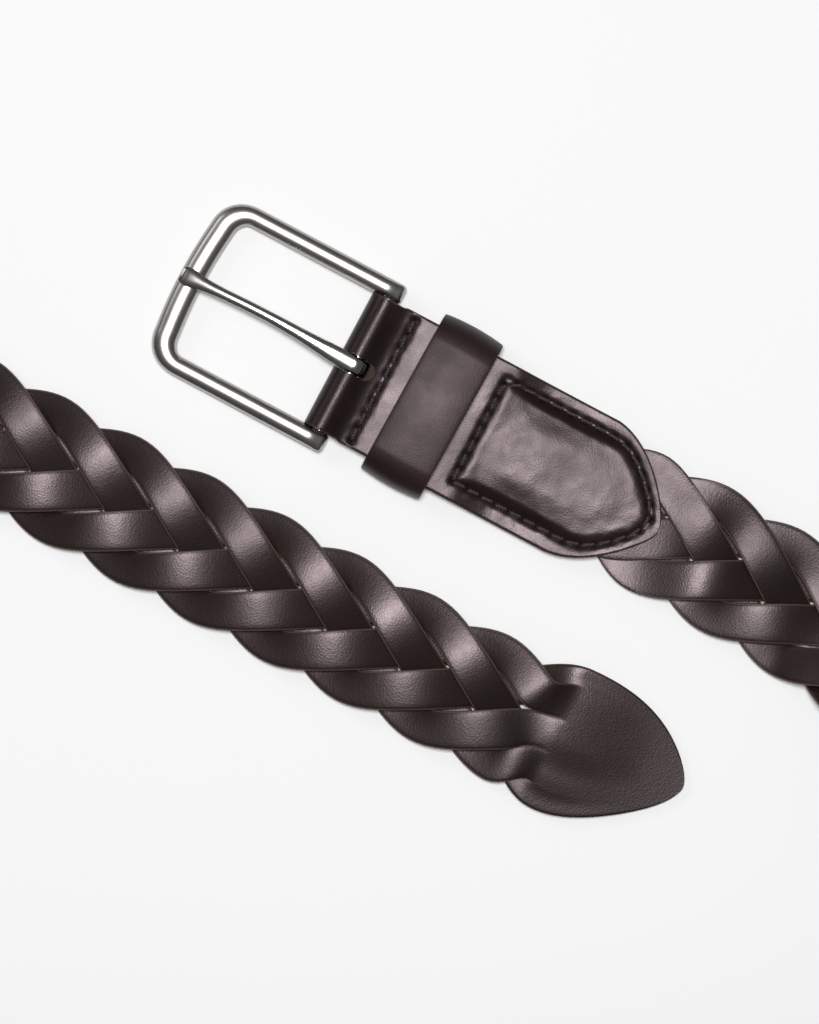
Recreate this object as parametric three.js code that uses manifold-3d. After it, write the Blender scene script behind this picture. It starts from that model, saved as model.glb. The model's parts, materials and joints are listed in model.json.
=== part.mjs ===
// A braided leather belt with a pin buckle, lying on a table.
// Millimetres, +Z up. The buckle bar lies along Y, and the strap leaves it along +X.

import * as THREE from 'three';
import { mergeVertices } from 'three/addons/utils/BufferGeometryUtils.js';
import Module from 'manifold-3d';

const wasm = await Module();
wasm.setup();

// Leather
const strapWidth = 38;
const strandLeather = 1.6;
const chapeLeather = 2;
const skivedShare = 0.85;
const keeperLeather = 1.9;
const clearance = 0.3;

// Buckle frame, a bent wire with a bar across its open end
const frameWidth = 47.2;
const frameReach = 50;
const frameCorner = 9.5;
const frameBow = 0.9;
const railWidth = 5.6;
const railHeight = 5;
const armWidth = 4.8;
const armHeight = 4.5;
const armPastBar = 2.6;
const barRadius = 2;

// Prong
const prongReach = 49.5;
const prongWidth = 3.3;
const prongEyeWidth = 4.2;
const prongThickness = 2;
const prongSway = 0.6;

// Chape, the leather folded round the bar and over the ends of the strands
const chapeLength = 87.5;
const foldWidth = 36.3;
const slotWidth = 6;
const slotReach = 5.9;
const padStart = 35.6;
const padRise = 14;
const seamInset = 2;
const shoulderSlope = 6.5;
const noseLength = 21;
const noseShift = -1.1;

// Keeper, the loop that holds the free end
const keeperPlace = 22.4;
const keeperWidth = 16.7;
const keeperSpan = 45.6;
const keeperRoom = 4.5;
const keeperLean = 1;
const keeperCorner = 3.6;
const liftStretch = 4.5;

// Plait of five strands
const strandWidth = 10;
const turnInnerWidth = 3.6;
const plaitSwing = 12.4;
const plaitSharpness = 0.9;
const scallopPitch = 21.3;
const strandSpace = 0.45;
const plaitStart = 58;
const firstTurn = 98.4;
const pressedHeight = 0.68;
const drawnWidth = 0.72;
const looseAfterNose = 20;
const stepsPerPlait = 20;
const crowdedTurns = 0.3;

// Tip, the uncut end of the leather
const tipLength = 27.2;
const lastTurn = 56.4;
const tipDrop = 12;
const levelStretch = 9;

// Way of the belt over the table: a straight first line, a loop, and a second line below the first
const firstLine = 84;
const leadRadius = 520;
const leadTurn = 5;
const easeRadius = 220;
const easeTurn = 16;
const bendRadius = 53;
const returnHeading = 153;
const secondLineStart = new THREE.Vector2(-78, -58.9);
const secondLineHeading = -0.2;
const secondLineLength = 201.7;
const twistLength = 80;

// Sizes that follow from those above
const barHeight = barRadius + clearance + chapeLeather;
const foldRadius = barHeight;
const pairedLeather = 2 * chapeLeather + 0.2;
const keeperRise = keeperLeather + clearance;
const keeperFront = keeperPlace - keeperWidth / 2;
const keeperBack = keeperPlace + keeperWidth / 2;
const keeperHigh = keeperRise + pairedLeather + keeperRoom;
const strandCount = 5;
const layerStep = strandLeather + strandSpace;
const plaitHeight = 1.22 * layerStep;
const plaitRipple = -0.056 * layerStep;
const plaitRoll = -0.016 * layerStep;
const braidHalf = plaitHeight + strandLeather / 2 + 0.75 * Math.abs(plaitRoll) * strandWidth / 2;
const plaitEdge = plaitSwing + strandWidth / 2;
const pocketHalf = braidHalf * pressedHeight + clearance;
const underLeather = skivedShare * chapeLeather;
const pocketMiddle = underLeather + pocketHalf;
const tipShare = strapWidth / strandCount;

// Small helpers

function clamp01(x) {
  return Math.min(Math.max(x, 0), 1);
}

function smooth(x) {
  const t = clamp01(x);
  return t * t * (3 - 2 * t);
}

function mix(a, b, t) {
  return a + (b - a) * t;
}

function radians(degrees) {
  return degrees * Math.PI / 180;
}

// Solids

function flipFaces(geometry) {
  const index = geometry.index;
  for (let i = 0; i < index.count; i += 3) {
    const a = index.getX(i);
    index.setX(i, index.getX(i + 1));
    index.setX(i + 1, a);
  }
}

function signedVolume(geometry) {
  const p = geometry.attributes.position;
  const index = geometry.index;
  const [a, b, c] = [new THREE.Vector3(), new THREE.Vector3(), new THREE.Vector3()];
  let sum = 0;
  for (let i = 0; i < index.count; i += 3) {
    a.fromBufferAttribute(p, index.getX(i));
    b.fromBufferAttribute(p, index.getX(i + 1));
    c.fromBufferAttribute(p, index.getX(i + 2));
    sum += a.dot(b.cross(c));
  }
  return sum;
}

// A closed body through rings of equally many points, with flat ends
function loft(rings) {
  const sides = rings[0].length;
  const points = rings.flat().flatMap((p) => [p.x, p.y, p.z]);
  const faces = [];
  for (let r = 0; r + 1 < rings.length; r++) {
    for (let i = 0; i < sides; i++) {
      const j = (i + 1) % sides;
      const [a, b] = [r * sides + i, r * sides + j];
      faces.push(a, b, b + sides, a, b + sides, a + sides);
    }
  }
  const last = (rings.length - 1) * sides;
  for (let i = 1; i + 1 < sides; i++) {
    faces.push(0, i + 1, i, last, last + i, last + i + 1);
  }
  const geometry = new THREE.BufferGeometry();
  geometry.setAttribute('position', new THREE.Float32BufferAttribute(points, 3));
  geometry.setIndex(faces);
  if (signedVolume(geometry) < 0) flipFaces(geometry);
  return geometry;
}

function toSolid(geometry) {
  const bare = geometry.clone();
  bare.deleteAttribute('normal');
  bare.deleteAttribute('uv');
  const merged = mergeVertices(bare, 1e-4);
  return new wasm.Manifold(new wasm.Mesh({
    numProp: 3,
    vertProperties: new Float32Array(merged.attributes.position.array),
    triVerts: new Uint32Array(merged.index.array),
  }));
}

function toGeometry(solid) {
  const mesh = solid.getMesh();
  const geometry = new THREE.BufferGeometry();
  geometry.setAttribute('position', new THREE.BufferAttribute(new Float32Array(mesh.vertProperties), 3));
  geometry.setIndex(new THREE.BufferAttribute(new Uint32Array(mesh.triVerts), 1));
  return geometry;
}

// A round bar along Y
function crossBar(radius, length, sides) {
  return new THREE.CylinderGeometry(radius, radius, length, sides);
}

// The belt's way over the table, as lines and arcs that follow each other

function stepAlong(pose, piece, length) {
  const turn = piece.radius ? -length / piece.radius : 0;
  const chord = piece.radius ? 2 * piece.radius * Math.sin(-turn / 2) : length;
  const middle = pose.heading + turn / 2;
  return {
    x: pose.x + chord * Math.cos(middle),
    y: pose.y + chord * Math.sin(middle),
    heading: pose.heading + turn,
  };
}

function arc(radius, degrees) {
  return { radius, length: radius * radians(degrees) };
}

function walk(start, pieces) {
  return pieces.reduce((pose, piece) => stepAlong(pose, piece, piece.length), start);
}

// The far stretch is as long, and the bend after it as wide, as it takes to reach the second line
function beltWay() {
  const out = [
    { length: firstLine },
    arc(leadRadius, leadTurn),
    arc(easeRadius, easeTurn),
    arc(bendRadius, returnHeading - leadTurn - easeTurn),
  ];
  const backTurn = 360 - secondLineHeading - returnHeading - easeTurn;
  const turned = walk({ x: 0, y: 0, heading: 0 }, out);
  const far = stepAlong({ x: 0, y: 0, heading: turned.heading }, { length: 1 }, 1);
  const bend = walk({ x: 0, y: 0, heading: turned.heading }, [arc(1, backTurn)]);
  const eased = walk({ x: 0, y: 0, heading: bend.heading }, [arc(easeRadius, easeTurn)]);
  const openX = secondLineStart.x - turned.x - eased.x;
  const openY = secondLineStart.y - turned.y - eased.y;
  const crossing = far.x * bend.y - far.y * bend.x;
  const farLength = (openX * bend.y - openY * bend.x) / crossing;
  const backRadius = (far.x * openY - far.y * openX) / crossing;
  const loop = [...out.slice(2), { length: farLength }, arc(backRadius, backTurn), arc(easeRadius, easeTurn)];
  return {
    pieces: [...out.slice(0, 2), ...loop, { length: secondLineLength }],
    loopStart: out[0].length + out[1].length,
    loopLength: loop.reduce((sum, piece) => sum + piece.length, 0),
  };
}

const way = beltWay();
const beltLength = way.loopStart + way.loopLength + secondLineLength;
const tipStart = beltLength - tipLength;

function poseAt(s) {
  let pose = { x: 0, y: 0, heading: 0 };
  let left = s;
  for (const piece of way.pieces) {
    if (left <= piece.length) return stepAlong(pose, piece, left);
    pose = stepAlong(pose, piece, piece.length);
    left -= piece.length;
  }
  return stepAlong(pose, { length: left }, left);
}

// The loop stands on its edge, with the belt's face outwards
function tiltAt(s) {
  const rise = smooth((s - way.loopStart) / twistLength);
  const fall = smooth((way.loopStart + way.loopLength - s) / twistLength);
  return Math.PI / 2 * Math.min(rise, fall);
}

function pressAt(s) {
  return mix(pressedHeight, 1, smooth((s - chapeLength) / looseAfterNose));
}

function drawAt(s) {
  return mix(drawnWidth, 1, smooth((s - plaitStart) / (chapeLength - plaitStart - 2)));
}

// Height of the belt's middle over the table
function middleAt(s) {
  const tilt = tiltAt(s);
  const free = plaitEdge * Math.sin(tilt) + braidHalf * Math.cos(tilt);
  const atChape = mix(pocketMiddle, free, smooth((s - chapeLength) / looseAfterNose));
  return mix(atChape, strandLeather / 2, smooth((s - tipStart + tipDrop / 2) / tipDrop));
}

// A point of the belt: s along it, across to its left, and lift off its middle
function beltPoint(s, across, lift) {
  const pose = poseAt(s);
  const tilt = tiltAt(s);
  const side = across * drawAt(s) * Math.cos(tilt) + lift * pressAt(s) * Math.sin(tilt);
  const up = lift * pressAt(s) * Math.cos(tilt) - across * drawAt(s) * Math.sin(tilt);
  return new THREE.Vector3(
    pose.x - side * Math.sin(pose.heading),
    pose.y + side * Math.cos(pose.heading),
    middleAt(s) + up,
  );
}

// The plait: each strand swings from edge to edge, over two strands and under two.
// The scallop pitch is fitted so that a strand turns at the named place at either end.
const turnPlace = beltLength - lastTurn;
const scallops = Math.round((turnPlace - firstTurn) / scallopPitch);
const plaitLength = strandCount * (turnPlace - firstTurn) / scallops;

// The strands from the left edge of the tip to its right edge: where in its swing each one is at
// the last left turn, and in scallops how far past that turn it leaves the plait and how far
// before the tip it has reached its place there
const strands = [
  { name: 'strand_1', swing: 0.8, leaves: 0.50, joins: 0.30 },
  { name: 'strand_2', swing: 0.0, leaves: 0.50, joins: 0.30 },
  { name: 'strand_3', swing: 0.6, leaves: 0.45, joins: 0.30 },
  { name: 'strand_4', swing: 0.4, leaves: 0.75, joins: 0.28 },
  { name: 'strand_5', swing: 0.2, leaves: 0.60, joins: 0.16 },
];
function swingAt(phase) {
  const angle = 2 * Math.PI * phase;
  return plaitSwing * Math.asin(plaitSharpness * Math.cos(angle)) / Math.asin(plaitSharpness);
}

function heightAt(phase) {
  const angle = 4 * Math.PI * phase;
  return plaitHeight * Math.sin(angle) + plaitRipple * Math.sin(2 * angle);
}

// The inner edge of a strand is drawn in at its turn, where the others hide it
function halfWidth(turning) {
  return mix(strandWidth / 2, turnInnerWidth, clamp01(turning) ** 4);
}

const scallop = plaitLength / strandCount;

function strandState(strand, place, s) {
  const phase = (s - turnPlace) / plaitLength + strand.swing;
  const start = turnPlace + strand.leaves * scallop;
  const end = tipStart - strand.joins * scallop;
  const joined = smooth((s - start) / (end - start));
  const levelled = smooth((s - tipStart + levelStretch) / levelStretch);
  const turning = Math.cos(2 * Math.PI * phase);
  const seat = (strandCount - 1 - 2 * place) / 2 * tipShare;
  const seatHalf = (tipShare - clearance) / 2;
  return {
    across: mix(swingAt(phase), seat, joined),
    left: mix(halfWidth(-turning), seatHalf, joined),
    right: mix(halfWidth(turning), seatHalf, joined),
    height: heightAt(phase) * (1 - levelled),
    roll: plaitRoll * Math.sin(2 * Math.PI * phase) * (1 - levelled),
  };
}

function strandRing(strand, place, s) {
  const reach = 0.5;
  const state = strandState(strand, place, s);
  const before = strandState(strand, place, s - reach);
  const after = strandState(strand, place, s + reach);
  const slope = (after.across - before.across) / (2 * reach);
  const stretch = Math.hypot(1, slope);
  const corner = (offset, side) => beltPoint(
    s - offset * slope / stretch,
    state.across + offset / stretch,
    state.height + offset * state.roll + side * strandLeather / 2,
  );
  return [
    corner(state.left, 1),
    corner(-state.right, 1),
    corner(-state.right, -1),
    corner(state.left, -1),
  ];
}

// Steps lie closer together where the strand turns
function strandSteps(strand) {
  const end = tipStart - clearance;
  const steps = [];
  const first = (plaitStart - turnPlace) / plaitLength + strand.swing;
  const last = (end - turnPlace) / plaitLength + strand.swing;
  const count = Math.ceil((last - first) * stepsPerPlait);
  const warp = (u) => u - crowdedTurns * Math.sin(4 * Math.PI * u) / (4 * Math.PI);
  for (let i = 0; i <= count; i++) {
    const phase = Math.min(Math.max(warp(mix(first, last, i / count)), first), last);
    steps.push(turnPlace + (phase - strand.swing) * plaitLength);
  }
  steps[0] = plaitStart;
  steps[count] = end;
  return steps;
}

function strandBody(strand, place) {
  return loft(strandSteps(strand).map((s) => strandRing(strand, place, s)));
}

// Tip: its two edges as shares of the tip's length and of half the strap's width
const tipOutline = [
  { along: 0.00, left: 0.99, right: -0.99 },
  { along: 0.18, left: 0.975, right: -0.88 },
  { along: 0.37, left: 0.91, right: -0.76 },
  { along: 0.56, left: 0.80, right: -0.61 },
  { along: 0.74, left: 0.65, right: -0.39 },
  { along: 0.88, left: 0.47, right: -0.15 },
  { along: 0.96, left: 0.33, right: 0.02 },
  { along: 1.00, left: 0.22, right: 0.13 },
];

function edgeCurve(side) {
  return new THREE.SplineCurve(tipOutline.map((row) => new THREE.Vector2(
    tipStart + row.along * tipLength,
    row[side] * strapWidth / 2,
  )));
}

function tipBody() {
  const [left, right] = [edgeCurve('left'), edgeCurve('right')];
  const steps = 2 * (tipOutline.length - 1);
  const rings = [];
  for (let i = 0; i <= steps; i++) {
    const [a, b] = [left.getPoint(i / steps), right.getPoint(i / steps)];
    const half = strandLeather / 2;
    rings.push([
      beltPoint(a.x, a.y, half),
      beltPoint(b.x, b.y, half),
      beltPoint(b.x, b.y, -half),
      beltPoint(a.x, a.y, -half),
    ]);
  }
  return loft(rings);
}

// Chape

// Underside of the leather, which rises over the keeper
function chapeUnder(x) {
  if (x <= 0) return foldRadius - Math.sqrt(Math.max(foldRadius ** 2 - x ** 2, 0));
  const rising = smooth((x - keeperFront + 2 * liftStretch) / liftStretch);
  const falling = smooth((keeperBack + 2 * liftStretch - x) / liftStretch);
  return keeperRise * Math.min(rising, falling);
}

// The pad stands highest over the strands and slopes down to the sewn edges and the first seam
function chapeTop(x, y) {
  if (x <= 0) return foldRadius + Math.sqrt(Math.max(foldRadius ** 2 - x ** 2, 0));
  const flat = chapeUnder(x) + pairedLeather;
  const padTop = pocketMiddle + pocketHalf + skivedShare * chapeLeather;
  const grown = smooth((x - padStart) / padRise);
  const opened = smooth((x - plaitStart) / (chapeLength - noseLength + padRise / 2 - plaitStart));
  const shoulder = mix(strapWidth / 2 - seamInset, strapWidth / 2 + shoulderSlope, opened);
  const crown = smooth((shoulder - Math.abs(y)) / shoulderSlope);
  return mix(2 * foldRadius, flat + (padTop - flat) * grown * crown, smooth(x / (2 * foldRadius)));
}

function chapeHalf(x) {
  return mix(foldWidth, strapWidth, smooth((x - foldRadius) / 1.5)) / 2;
}

// Sections stand close together at the fold and where the surface turns
function chapeStations() {
  const fold = [8, 25, 45, 65].map((degrees) => -foldRadius * Math.cos(radians(degrees)));
  const neck = [0, 0.4, 0.75, 1, 1.35, 1.9, 2.5].map((share) => share * foldRadius);
  const keeper = [keeperFront, keeperBack, keeperBack + liftStretch / 2];
  const pad = [0, 0.17, 0.38, 0.6, 0.85, 1.15].map((share) => padStart + share * padRise);
  const nose = [];
  const noseStep = 4;
  const first = padStart + 1.45 * padRise;
  for (let x = first; x < chapeLength + noseStep; x += noseStep) nose.push(x);
  return [...fold, ...neck, ...keeper, ...pad, ...nose];
}

function chapeShell() {
  const shares = [-1, -0.92, -0.82, -0.7, -0.5, 0, 0.5, 0.7, 0.82, 0.92, 1];
  return loft(chapeStations().map((x) => {
    const half = chapeHalf(x);
    const top = shares.map((t) => new THREE.Vector3(x, t * half, chapeTop(x, t * half)));
    const under = [1, 0, -1].map((t) => new THREE.Vector3(x, t * half, chapeUnder(x)));
    return [...top, ...under];
  }));
}

// The pocket that takes the ends of the strands, open all round the nose
function chapePocket() {
  const open = chapeLength - plaitStart;
  const shares = [-0.2, -0.05, 0.1, 0.25, 0.4, 0.55, 0.75, 1, 1.3];
  return loft(shares.map((share) => {
    const x = plaitStart + share * open;
    const wide = drawAt(x) * (plaitEdge + 1) + clearance;
    const [low, high] = [0.45 * pocketHalf, pocketHalf];
    return [
      new THREE.Vector3(x, -wide, -low),
      new THREE.Vector3(x, -0.72 * wide, -high),
      new THREE.Vector3(x, 0.72 * wide, -high),
      new THREE.Vector3(x, wide, -low),
      new THREE.Vector3(x, wide, low),
      new THREE.Vector3(x, 0.72 * wide, high),
      new THREE.Vector3(x, -0.72 * wide, high),
      new THREE.Vector3(x, -wide, low),
    ].map((p) => p.setZ(p.z + pocketMiddle));
  }));
}

// The nose's edges as shares of its length and of half the strap's width
const noseOutline = [
  { along: 0.00, left: 1.00, right: -0.99 },
  { along: 0.22, left: 0.93, right: -0.87 },
  { along: 0.44, left: 0.78, right: -0.72 },
  { along: 0.68, left: 0.54, right: -0.53 },
  { along: 0.84, left: 0.33, right: -0.35 },
  { along: 0.95, left: 0.13, right: -0.21 },
];

function chapeOutline() {
  const shape = new THREE.Shape();
  const start = chapeLength - noseLength;
  const beside = start - noseLength / 3;
  const at = (row, side) => [start + row.along * noseLength, row[side] * strapWidth / 2];
  shape.moveTo(-2 * foldRadius, strapWidth / 2 + 1);
  shape.lineTo(-2 * foldRadius, -strapWidth / 2 - 1);
  shape.lineTo(beside, -strapWidth / 2 - 1);
  shape.lineTo(beside, -strapWidth / 2);
  const nose = [
    ...noseOutline.map((row) => at(row, 'right')),
    [chapeLength, noseShift],
    ...noseOutline.toReversed().map((row) => at(row, 'left')),
  ].map(([x, y]) => new THREE.Vector2(x, y));
  shape.splineThru(nose);
  shape.lineTo(beside, strapWidth / 2);
  shape.lineTo(beside, strapWidth / 2 + 1);
  const height = 4 * foldRadius;
  return new THREE.ExtrudeGeometry(shape, { depth: height, bevelEnabled: false, curveSegments: 2 })
    .translate(0, 0, -1);
}

// The slot for the prong, round at both ends and wrapped round the fold
function chapeSlot() {
  const radius = slotWidth / 2;
  const shape = new THREE.Shape();
  shape.moveTo(-2 * foldRadius, -radius);
  shape.lineTo(slotReach - radius, -radius);
  shape.absarc(slotReach - radius, 0, radius, -Math.PI / 2, Math.PI / 2, false);
  shape.lineTo(-2 * foldRadius, radius);
  const height = 4 * foldRadius;
  return new THREE.ExtrudeGeometry(shape, { depth: height, bevelEnabled: false, curveSegments: 6 })
    .translate(0, 0, -1);
}

function chapeBody() {
  const bore = crossBar(barRadius + clearance, 2 * strapWidth, 14).translate(0, 0, barHeight);
  const solid = toSolid(chapeShell())
    .subtract(toSolid(chapePocket()))
    .subtract(toSolid(chapeSlot()))
    .subtract(toSolid(bore))
    .intersect(toSolid(chapeOutline()));
  return toGeometry(solid);
}

// Keeper: a closed band round the chape, arched to leave room for the free end

function bandShape(halfSpan, low, high, corner) {
  const shape = new THREE.Shape();
  shape.moveTo(-halfSpan + corner, low);
  shape.lineTo(halfSpan - corner, low);
  shape.quadraticCurveTo(halfSpan, low, halfSpan, low + corner);
  shape.quadraticCurveTo(halfSpan, high - corner / 2, halfSpan - 2 * corner, high - corner / 8);
  shape.quadraticCurveTo(0, high + corner / 6, -halfSpan + 2 * corner, high - corner / 8);
  shape.quadraticCurveTo(-halfSpan, high - corner / 2, -halfSpan, low + corner);
  shape.quadraticCurveTo(-halfSpan, low, -halfSpan + corner, low);
  return shape;
}

function keeperBody() {
  const shape = bandShape(keeperSpan / 2, 0, keeperHigh + keeperLeather, keeperCorner);
  const innerCorner = keeperCorner - keeperLeather;
  const inside = bandShape(keeperSpan / 2 - keeperLeather, keeperLeather, keeperHigh, innerCorner);
  shape.holes.push(inside);
  return new THREE.ExtrudeGeometry(shape, { depth: keeperWidth, bevelEnabled: false, curveSegments: 4 })
    .translate(0, 0, -keeperWidth / 2)
    .rotateX(Math.PI / 2)
    .rotateZ(Math.PI / 2)
    .rotateZ(-radians(keeperLean))
    .translate(keeperPlace, 0, 0);
}

// Buckle frame

function wireRing(x, y, heading, width, height, sides) {
  const ring = [];
  const z = frameHeightAt(x);
  for (let i = 0; i < sides; i++) {
    const angle = 2 * Math.PI * (i + 0.5) / sides;
    const out = width / 2 * Math.cos(angle);
    const up = height / 2 * Math.sin(angle);
    ring.push(new THREE.Vector3(x - out * Math.sin(heading), y + out * Math.cos(heading), z + up));
  }
  return ring;
}

// The rail lies on the table and the arms rise to the bar
function frameHeightAt(x) {
  return mix(barHeight, railHeight / 2, clamp01(-x / (frameReach - railWidth)));
}

function frameBody() {
  const sides = 12;
  const armY = (frameWidth - armWidth) / 2;
  const railX = -frameReach + railWidth / 2;
  const radius = frameCorner - railWidth / 2;
  const cornerX = railX + radius + frameBow;
  const cornerY = armY - radius;
  const arms = [
    { x: armPastBar, size: 0.45 },
    { x: 0.8 * armPastBar, size: 0.8 },
    { x: 0.45 * armPastBar, size: 1 },
    { x: -0.6 * frameReach, size: 1 },
  ];
  const half = arms.map(({ x, size }) => (
    { x, y: armY, heading: Math.PI, width: armWidth * size, height: armHeight * size }
  ));
  const turns = 7;
  for (let i = 0; i <= turns; i++) {
    const share = i / turns;
    const angle = Math.PI / 2 * (1 + share);
    half.push({
      x: cornerX + radius * Math.cos(angle),
      y: cornerY + radius * Math.sin(angle),
      heading: angle + Math.PI / 2,
      width: mix(armWidth, railWidth, share),
      height: mix(armHeight, railHeight, share),
    });
  }
  const bow = (y) => frameBow * (1 - (y / cornerY) ** 2);
  for (const share of [0.6, 0.25]) {
    const y = share * cornerY;
    const x = cornerX - radius - bow(y);
    half.push({ x, y, heading: 1.5 * Math.PI, width: railWidth, height: railHeight });
  }
  const mirrored = half.toReversed().map((ring) => (
    { ...ring, y: -ring.y, heading: 3 * Math.PI - ring.heading }
  ));
  const rings = [...half, ...mirrored].map((r) => wireRing(r.x, r.y, r.heading, r.width, r.height, sides));
  const bar = crossBar(barRadius, frameWidth - armWidth, 14).translate(0, 0, barHeight);
  return toGeometry(toSolid(loft(rings)).add(toSolid(bar)));
}

// Prong: columns are shares of its reach and of its width and thickness
const prongSections = [
  { along: 0.00, wide: 1.25, thick: 0.9 },
  { along: 0.10, wide: 1.22, thick: 1.0 },
  { along: 0.22, wide: 1.05, thick: 1.15 },
  { along: 0.50, wide: 1.0, thick: 1.2 },
  { along: 0.80, wide: 1.02, thick: 1.1 },
  { along: 0.90, wide: 1.3, thick: 1.0 },
  { along: 0.97, wide: 1.5, thick: 0.9 },
  { along: 1.00, wide: 1.3, thick: 0.6 },
];

function prongBody() {
  const eyeRadius = barRadius + clearance + prongThickness * 0.9;
  const startZ = barHeight + eyeRadius - prongThickness * 0.45;
  const railTop = railHeight + clearance;
  const rings = prongSections.map((row) => {
    const x = -row.along * prongReach;
    const endZ = railTop + prongThickness * 0.45;
    const z = mix(startZ, endZ, row.along) + 0.5 * Math.sin(Math.PI * row.along);
    const y = prongSway * Math.sin(Math.PI * row.along) ** 2;
    const half = row.wide * prongWidth / 2;
    const high = row.thick * prongThickness / 2;
    return [
      [-half, -0.5 * high], [-0.6 * half, -high], [0.6 * half, -high], [half, -0.5 * high],
      [half, 0.3 * high], [0.5 * half, high], [-0.5 * half, high], [-half, 0.3 * high],
    ].map(([a, b]) => new THREE.Vector3(x, y + a, z + b));
  });
  const eye = crossBar(eyeRadius, prongEyeWidth, 20).translate(0, 0, barHeight);
  const bore = crossBar(barRadius + clearance, 2 * prongEyeWidth, 14).translate(0, 0, barHeight);
  return toGeometry(toSolid(loft(rings)).add(toSolid(eye)).subtract(toSolid(bore)));
}

// The assembly, with its origin on the table under the middle of its outline

const leatherLook = { color: 0x2e2423, roughness: 0.45, metalness: 0 };
const metalLook = { color: 0xb9b6b2, roughness: 0.3, metalness: 1 };

function named(name, geometry, look) {
  const mesh = new THREE.Mesh(geometry, new THREE.MeshStandardMaterial(look));
  mesh.name = name;
  return mesh;
}

const belt = new THREE.Group();
belt.add(named('buckle_frame', frameBody(), metalLook));
belt.add(named('prong', prongBody(), metalLook));
belt.add(named('chape', chapeBody(), leatherLook));
belt.add(named('keeper', keeperBody(), leatherLook));
strands.forEach((strand, place) => belt.add(named(strand.name, strandBody(strand, place), leatherLook)));
belt.add(named('tip', tipBody(), leatherLook));

const outline = new THREE.Box3().setFromObject(belt);
const centre = outline.getCenter(new THREE.Vector3());
belt.position.set(-centre.x, -centre.y, -outline.min.z);

export default belt;
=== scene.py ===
# %% [markdown]
# # A braided leather belt with a pin buckle
#
# The belt lies in an open loop: its buckle end and its tip lie side by side, and the rest runs
# round behind them. Five leather strands make the plait, and they grow out of one slit strap.
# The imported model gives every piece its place, so it is loaded before anything else.

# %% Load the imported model
import json
import math

import bmesh
import bpy
import numpy as np
from mathutils import Matrix, Vector, noise


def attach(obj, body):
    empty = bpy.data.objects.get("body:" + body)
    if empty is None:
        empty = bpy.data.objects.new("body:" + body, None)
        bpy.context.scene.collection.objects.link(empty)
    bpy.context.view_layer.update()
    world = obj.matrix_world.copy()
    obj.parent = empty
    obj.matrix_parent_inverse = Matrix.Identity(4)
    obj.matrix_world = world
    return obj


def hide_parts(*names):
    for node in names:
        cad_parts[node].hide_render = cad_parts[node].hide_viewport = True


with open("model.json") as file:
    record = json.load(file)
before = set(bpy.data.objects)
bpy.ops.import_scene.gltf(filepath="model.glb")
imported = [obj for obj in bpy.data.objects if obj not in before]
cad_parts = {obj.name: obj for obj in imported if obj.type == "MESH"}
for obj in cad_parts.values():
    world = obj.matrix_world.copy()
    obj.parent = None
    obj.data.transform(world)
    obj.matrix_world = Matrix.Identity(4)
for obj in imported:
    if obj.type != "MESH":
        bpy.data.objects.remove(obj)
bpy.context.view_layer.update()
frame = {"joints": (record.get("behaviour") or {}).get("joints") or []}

scene = bpy.context.scene

# %% [markdown]
# ## Where the belt lies
#
# All the sizes below are in millimetres, measured from the middle of the buckle's bar on the
# table, because that is how a belt maker would lay the belt out. The frame's hinge runs through
# that bar, so its place moves every point into the room.

# %% From the belt's own millimetres to the room
hinge = next(joint for joint in frame["joints"] if joint["name"] == "frame_hinge")
bar_place = np.array([hinge["pos_m"][0], hinge["pos_m"][1], 0.0])


def to_room(points):
    """Turns millimetres from the bar into metres in the room."""
    return np.asarray(points, dtype=float) / 1000 + bar_place


def smooth(x):
    t = np.clip(x, 0, 1)
    return t * t * (3 - 2 * t)


def mix(a, b, t):
    return a + (b - a) * t


print("bar at", bar_place)

# %% [markdown]
# ## Camera
#
# The photograph looks straight down on the belt, which lies at a slant in it. The camera stands
# 1.2 m up, far enough for the belt to look flat, and it is turned so that the belt slants too.

# %% Camera
look_at = to_room([29.86, -26.18, 0])
camera_height = 1.2
view_height = 0.2594
sensor = 36.0
camera_data = bpy.data.cameras.new("camera")
camera_data.sensor_fit = "VERTICAL"
camera_data.sensor_height = sensor
camera_data.lens = sensor * camera_height / view_height
camera = bpy.data.objects.new("camera", camera_data)
scene.collection.objects.link(camera)
picture_right = Vector((0.8829, 0.4695, 0))
picture_up = Vector((-0.4695, 0.8829, 0))
slant = Matrix((picture_right, picture_up, Vector((0, 0, 1)))).transposed().to_4x4()
camera.matrix_world = Matrix.Translation((look_at[0], look_at[1], camera_height)) @ slant
scene.camera = camera
print("camera lens", round(camera_data.lens, 1))

# %% [markdown]
# ## Light and floor
#
# A bright softbox hangs over the belt and a weak one stands to its left, as in a studio for
# catalogue pictures. Leather that faces up mirrors the first and turns pale, and leather that
# slopes away mirrors the dim room, which is what shows the plait. The world gives a little grey
# light from all round.

# %% Small helpers for colour and nodes
def colour(hex_value):
    """Turns an sRGB hex colour into the linear colour that Blender works in."""
    parts = [int(hex_value[i:i + 2], 16) / 255 for i in (1, 3, 5)]
    linear = [v / 12.92 if v <= 0.04045 else ((v + 0.055) / 1.055) ** 2.4 for v in parts]
    return (*linear, 1.0)


def add(tree, kind, settings=None, links=None):
    """Adds a node with its settings, and links or sets its inputs by name or number."""
    node = tree.nodes.new(kind)
    for name, value in (settings or {}).items():
        setattr(node, name, value)
    for socket, value in (links or {}).items():
        value = value.outputs[0] if isinstance(value, bpy.types.Node) else value
        if isinstance(value, bpy.types.NodeSocket):
            tree.links.new(value, node.inputs[socket])
        else:
            node.inputs[socket].default_value = value
    return node


def math_node(tree, operation, *values, **settings):
    """Adds a Math node with its inputs in order."""
    return add(tree, "ShaderNodeMath", {"operation": operation, **settings}, dict(enumerate(values)))


def noise_node(tree, place, size_mm, detail, roughness=0.5):
    """Adds noise whose patches are about so many millimetres wide."""
    return add(tree, "ShaderNodeTexNoise", links={
        "Vector": place, "Scale": 1000 / size_mm, "Detail": detail, "Roughness": roughness})


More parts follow.
